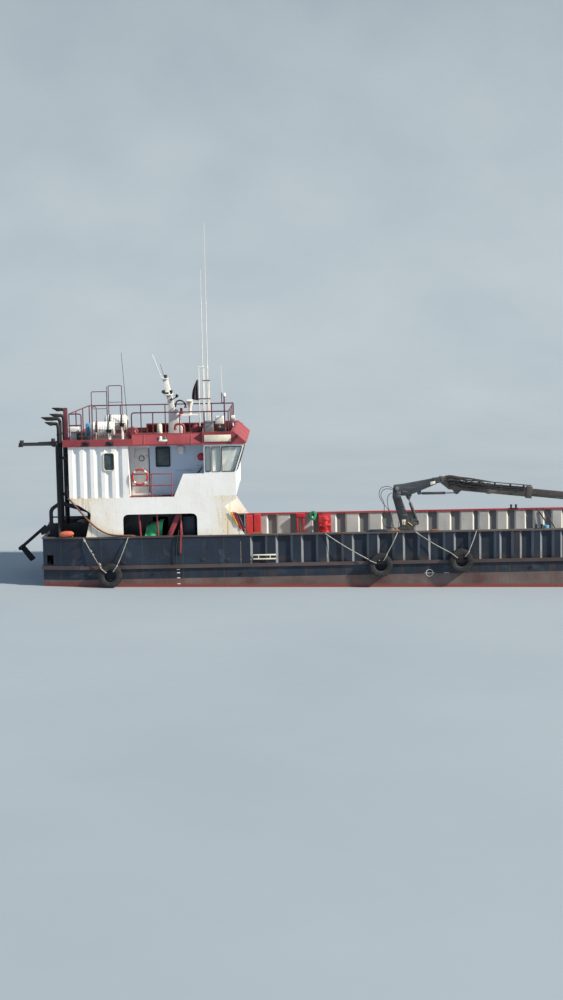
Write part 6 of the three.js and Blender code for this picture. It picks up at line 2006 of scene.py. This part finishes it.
# Hose loops behind the crane's column, in metres
CRANE_LOOPS = (
    (
        (-1.34, -3.76, 5.12), (-1.62, -3.8, 5.3), (-1.93, -3.8, 5.28), (-2.06, -3.8, 5.02),
        (-1.92, -3.79, 4.66), (-1.93, -3.79, 4.22), (-2, -3.79, 3.86), (-1.9, -3.79, 3.62),
        (-1.62, -3.77, 3.56), (-1.36, -3.71, 3.52), (-1.17, -3.66, 3.5),
    ),
    (
        (-1.34, -3.78, 5.16), (-1.68, -3.86, 5.42), (-2.04, -3.86, 5.36), (-2.14, -3.86, 5.04),
        (-1.98, -3.85, 4.7), (-1.76, -3.85, 4.42), (-1.6, -3.85, 4.06), (-1.58, -3.86, 3.72),
        (-1.38, -3.78, 3.46), (-1.17, -3.68, 3.42),
    ),
    (
        (-1.34, -3.74, 5.06), (-1.56, -3.74, 5.12), (-1.74, -3.74, 4.96), (-1.76, -3.74, 4.62),
        (-1.66, -3.74, 4.26), (-1.56, -3.75, 3.92), (-1.5, -3.76, 3.6), (-1.36, -3.71, 3.38),
        (-1.17, -3.63, 3.34),
    ),
)


class BARGE_OT_crane_hoses(bpy.types.Operator):
    """Hydraulic hoses that loop free behind the crane's column"""

    bl_idname = "barge.crane_hoses"
    bl_label = "Crane hoses"

    def execute(self, context):
        for number, points in enumerate(CRANE_LOOPS, 1):
            name = f"crane_hose_{number}"
            laid_cord(name, points, sizes().hose, "sleeve", "crane_column", steps=4)
        return {"FINISHED"}


# Camera, as it was solved from the photograph, in metres and degrees
CAMERA_PLACE = (-6.375, -77.2, 12.68)
CAMERA_DOWN = 6.05
LENS = 59.15
SENSOR = 36

# Studio: the paper floor sweeps up behind the barge, and the sun stands high over the starboard bow
FLOOR_REACH = 300
SWEEP_FOOT = 60
SWEEP_RADIUS = 90
SWEEP_STEPS = 24
SUN_DIRECTION = (0.9, -0.32, 0.66)
SUN_POWER = 6.8
SUN_WIDTH = 3
SKY_POWER = 0.68


class BARGE_OT_stage(bpy.types.Operator):
    """Lays the floor at the waterline and sets up the light and the camera"""

    bl_idname = "barge.stage"
    bl_label = "Floor, light and camera"

    def execute(self, context):
        scene = context.scene
        bpy.ops.mesh.primitive_grid_add(x_subdivisions=1, y_subdivisions=SWEEP_STEPS + 2, size=2)
        floor = context.object
        floor.name = "studio_floor"
        profile = [(-FLOOR_REACH, 0), (SWEEP_FOOT, 0)]
        for step in range(1, SWEEP_STEPS + 1):
            angle = math.radians(85) * step / SWEEP_STEPS
            out, up = SWEEP_RADIUS * math.sin(angle), SWEEP_RADIUS * (1 - math.cos(angle))
            profile.append((SWEEP_FOOT + out, up))
        profile.append((profile[-1][0] + 30, 400))
        corners = [(x, y, z) for y, z in profile for x in (-FLOOR_REACH, FLOOR_REACH)]
        for vertex, corner in zip(floor.data.vertices, corners):
            vertex.co = corner
        floor.location = (0, 0, DRAFT)
        floor.rotation_euler = (0, TRIM, 0)
        set_down(floor)
        bpy.ops.object.shade_smooth()
        material, shader, place = start_material("studio_floor_paper")
        tone = coat(paint().floor, "#919ea8", patches(place, 8, 0.3, 0.7))
        skin(shader, place, tone, (0.8, 0.9), 0.4, 0.001)
        floor.data.materials.append(material)

        camera = bpy.data.cameras.new("photograph_camera")
        camera.sensor_fit = "VERTICAL"
        camera.sensor_height = SENSOR
        camera.lens = LENS
        camera.clip_end = 900
        holder = bpy.data.objects.new("photograph_camera", camera)
        holder.location = CAMERA_PLACE
        level = Matrix.Rotation(math.radians(90 - CAMERA_DOWN), 3, "X")
        holder.rotation_euler = (Matrix.Rotation(TRIM, 3, "Y") @ level).to_euler()
        scene.collection.objects.link(holder)
        scene.camera = holder

        light = bpy.data.lights.new("afternoon_sun", "SUN")
        light.energy = SUN_POWER
        light.angle = math.radians(SUN_WIDTH)
        light.color = linear("#fff1dd")
        sun = bpy.data.objects.new("afternoon_sun", light)
        sun.rotation_euler = Vector(SUN_DIRECTION).to_track_quat("Z", "Y").to_euler()
        scene.collection.objects.link(sun)

        world = bpy.data.worlds.new("soft_studio")
        scene.world = world
        world.use_nodes = True
        sky = world.node_tree.nodes["Background"]
        sky.inputs["Color"].default_value = rgba("#bcd2ec")
        sky.inputs["Strength"].default_value = SKY_POWER
        scene.view_settings.view_transform = "Standard"
        return {"FINISHED"}


class BARGE_PT_panel(bpy.types.Panel):
    """Lists the colours, the sizes and the steps that dress the barge."""

    bl_idname = "BARGE_PT_panel"
    bl_label = "River barge"
    bl_space_type = "VIEW_3D"
    bl_region_type = "UI"
    bl_category = "Barge"

    def draw(self, context):
        for group in (paint(), sizes()):
            box = self.layout.box()
            for name in group.__annotations__:
                box.prop(group, name)
        for operator in OPERATORS:
            self.layout.operator(operator.bl_idname)


OPERATORS = (
    BARGE_OT_stage,
    BARGE_OT_frame_finishes,
    BARGE_OT_fender_ropes,
    BARGE_OT_discharge_hose,
    BARGE_OT_crane_hoses,
    BARGE_OT_fender_tyres,
    BARGE_OT_steel_edges,
    BARGE_OT_exhausts,
    BARGE_OT_roof_rails,
    BARGE_OT_life_rafts,
    BARGE_OT_roof_vents,
    BARGE_OT_radar,
    BARGE_OT_whips,
    BARGE_OT_house_windows,
    BARGE_OT_wheelhouse_inside,
    BARGE_OT_house_fittings,
    BARGE_OT_lower_house,
    BARGE_OT_gallery,
    BARGE_OT_stern_gear,
    BARGE_OT_roof_fittings,
    BARGE_OT_bulwark_gear,
    BARGE_OT_hull_marks,
    BARGE_OT_deck_fittings,
    BARGE_OT_bow_ramp,
    BARGE_OT_screws,
    BARGE_OT_crane_fittings,
)


def register():
    """Registers the classes and hangs the colours and sizes on the scene."""
    for kind in (BargePaint, BargeSizes, *OPERATORS, BARGE_PT_panel):
        bpy.utils.register_class(kind)
    bpy.types.Scene.barge_paint = bpy.props.PointerProperty(type=BargePaint)
    bpy.types.Scene.barge_sizes = bpy.props.PointerProperty(type=BargeSizes)


def unregister():
    """Takes everything off again."""
    del bpy.types.Scene.barge_paint
    del bpy.types.Scene.barge_sizes
    for kind in reversed((BargePaint, BargeSizes, *OPERATORS, BARGE_PT_panel)):
        bpy.utils.unregister_class(kind)


def main():
    """Runs every step in order."""
    register()
    for operator in OPERATORS:
        group, step = operator.bl_idname.split(".")
        getattr(getattr(bpy.ops, group), step)()


if __name__ == "__main__":
    main()
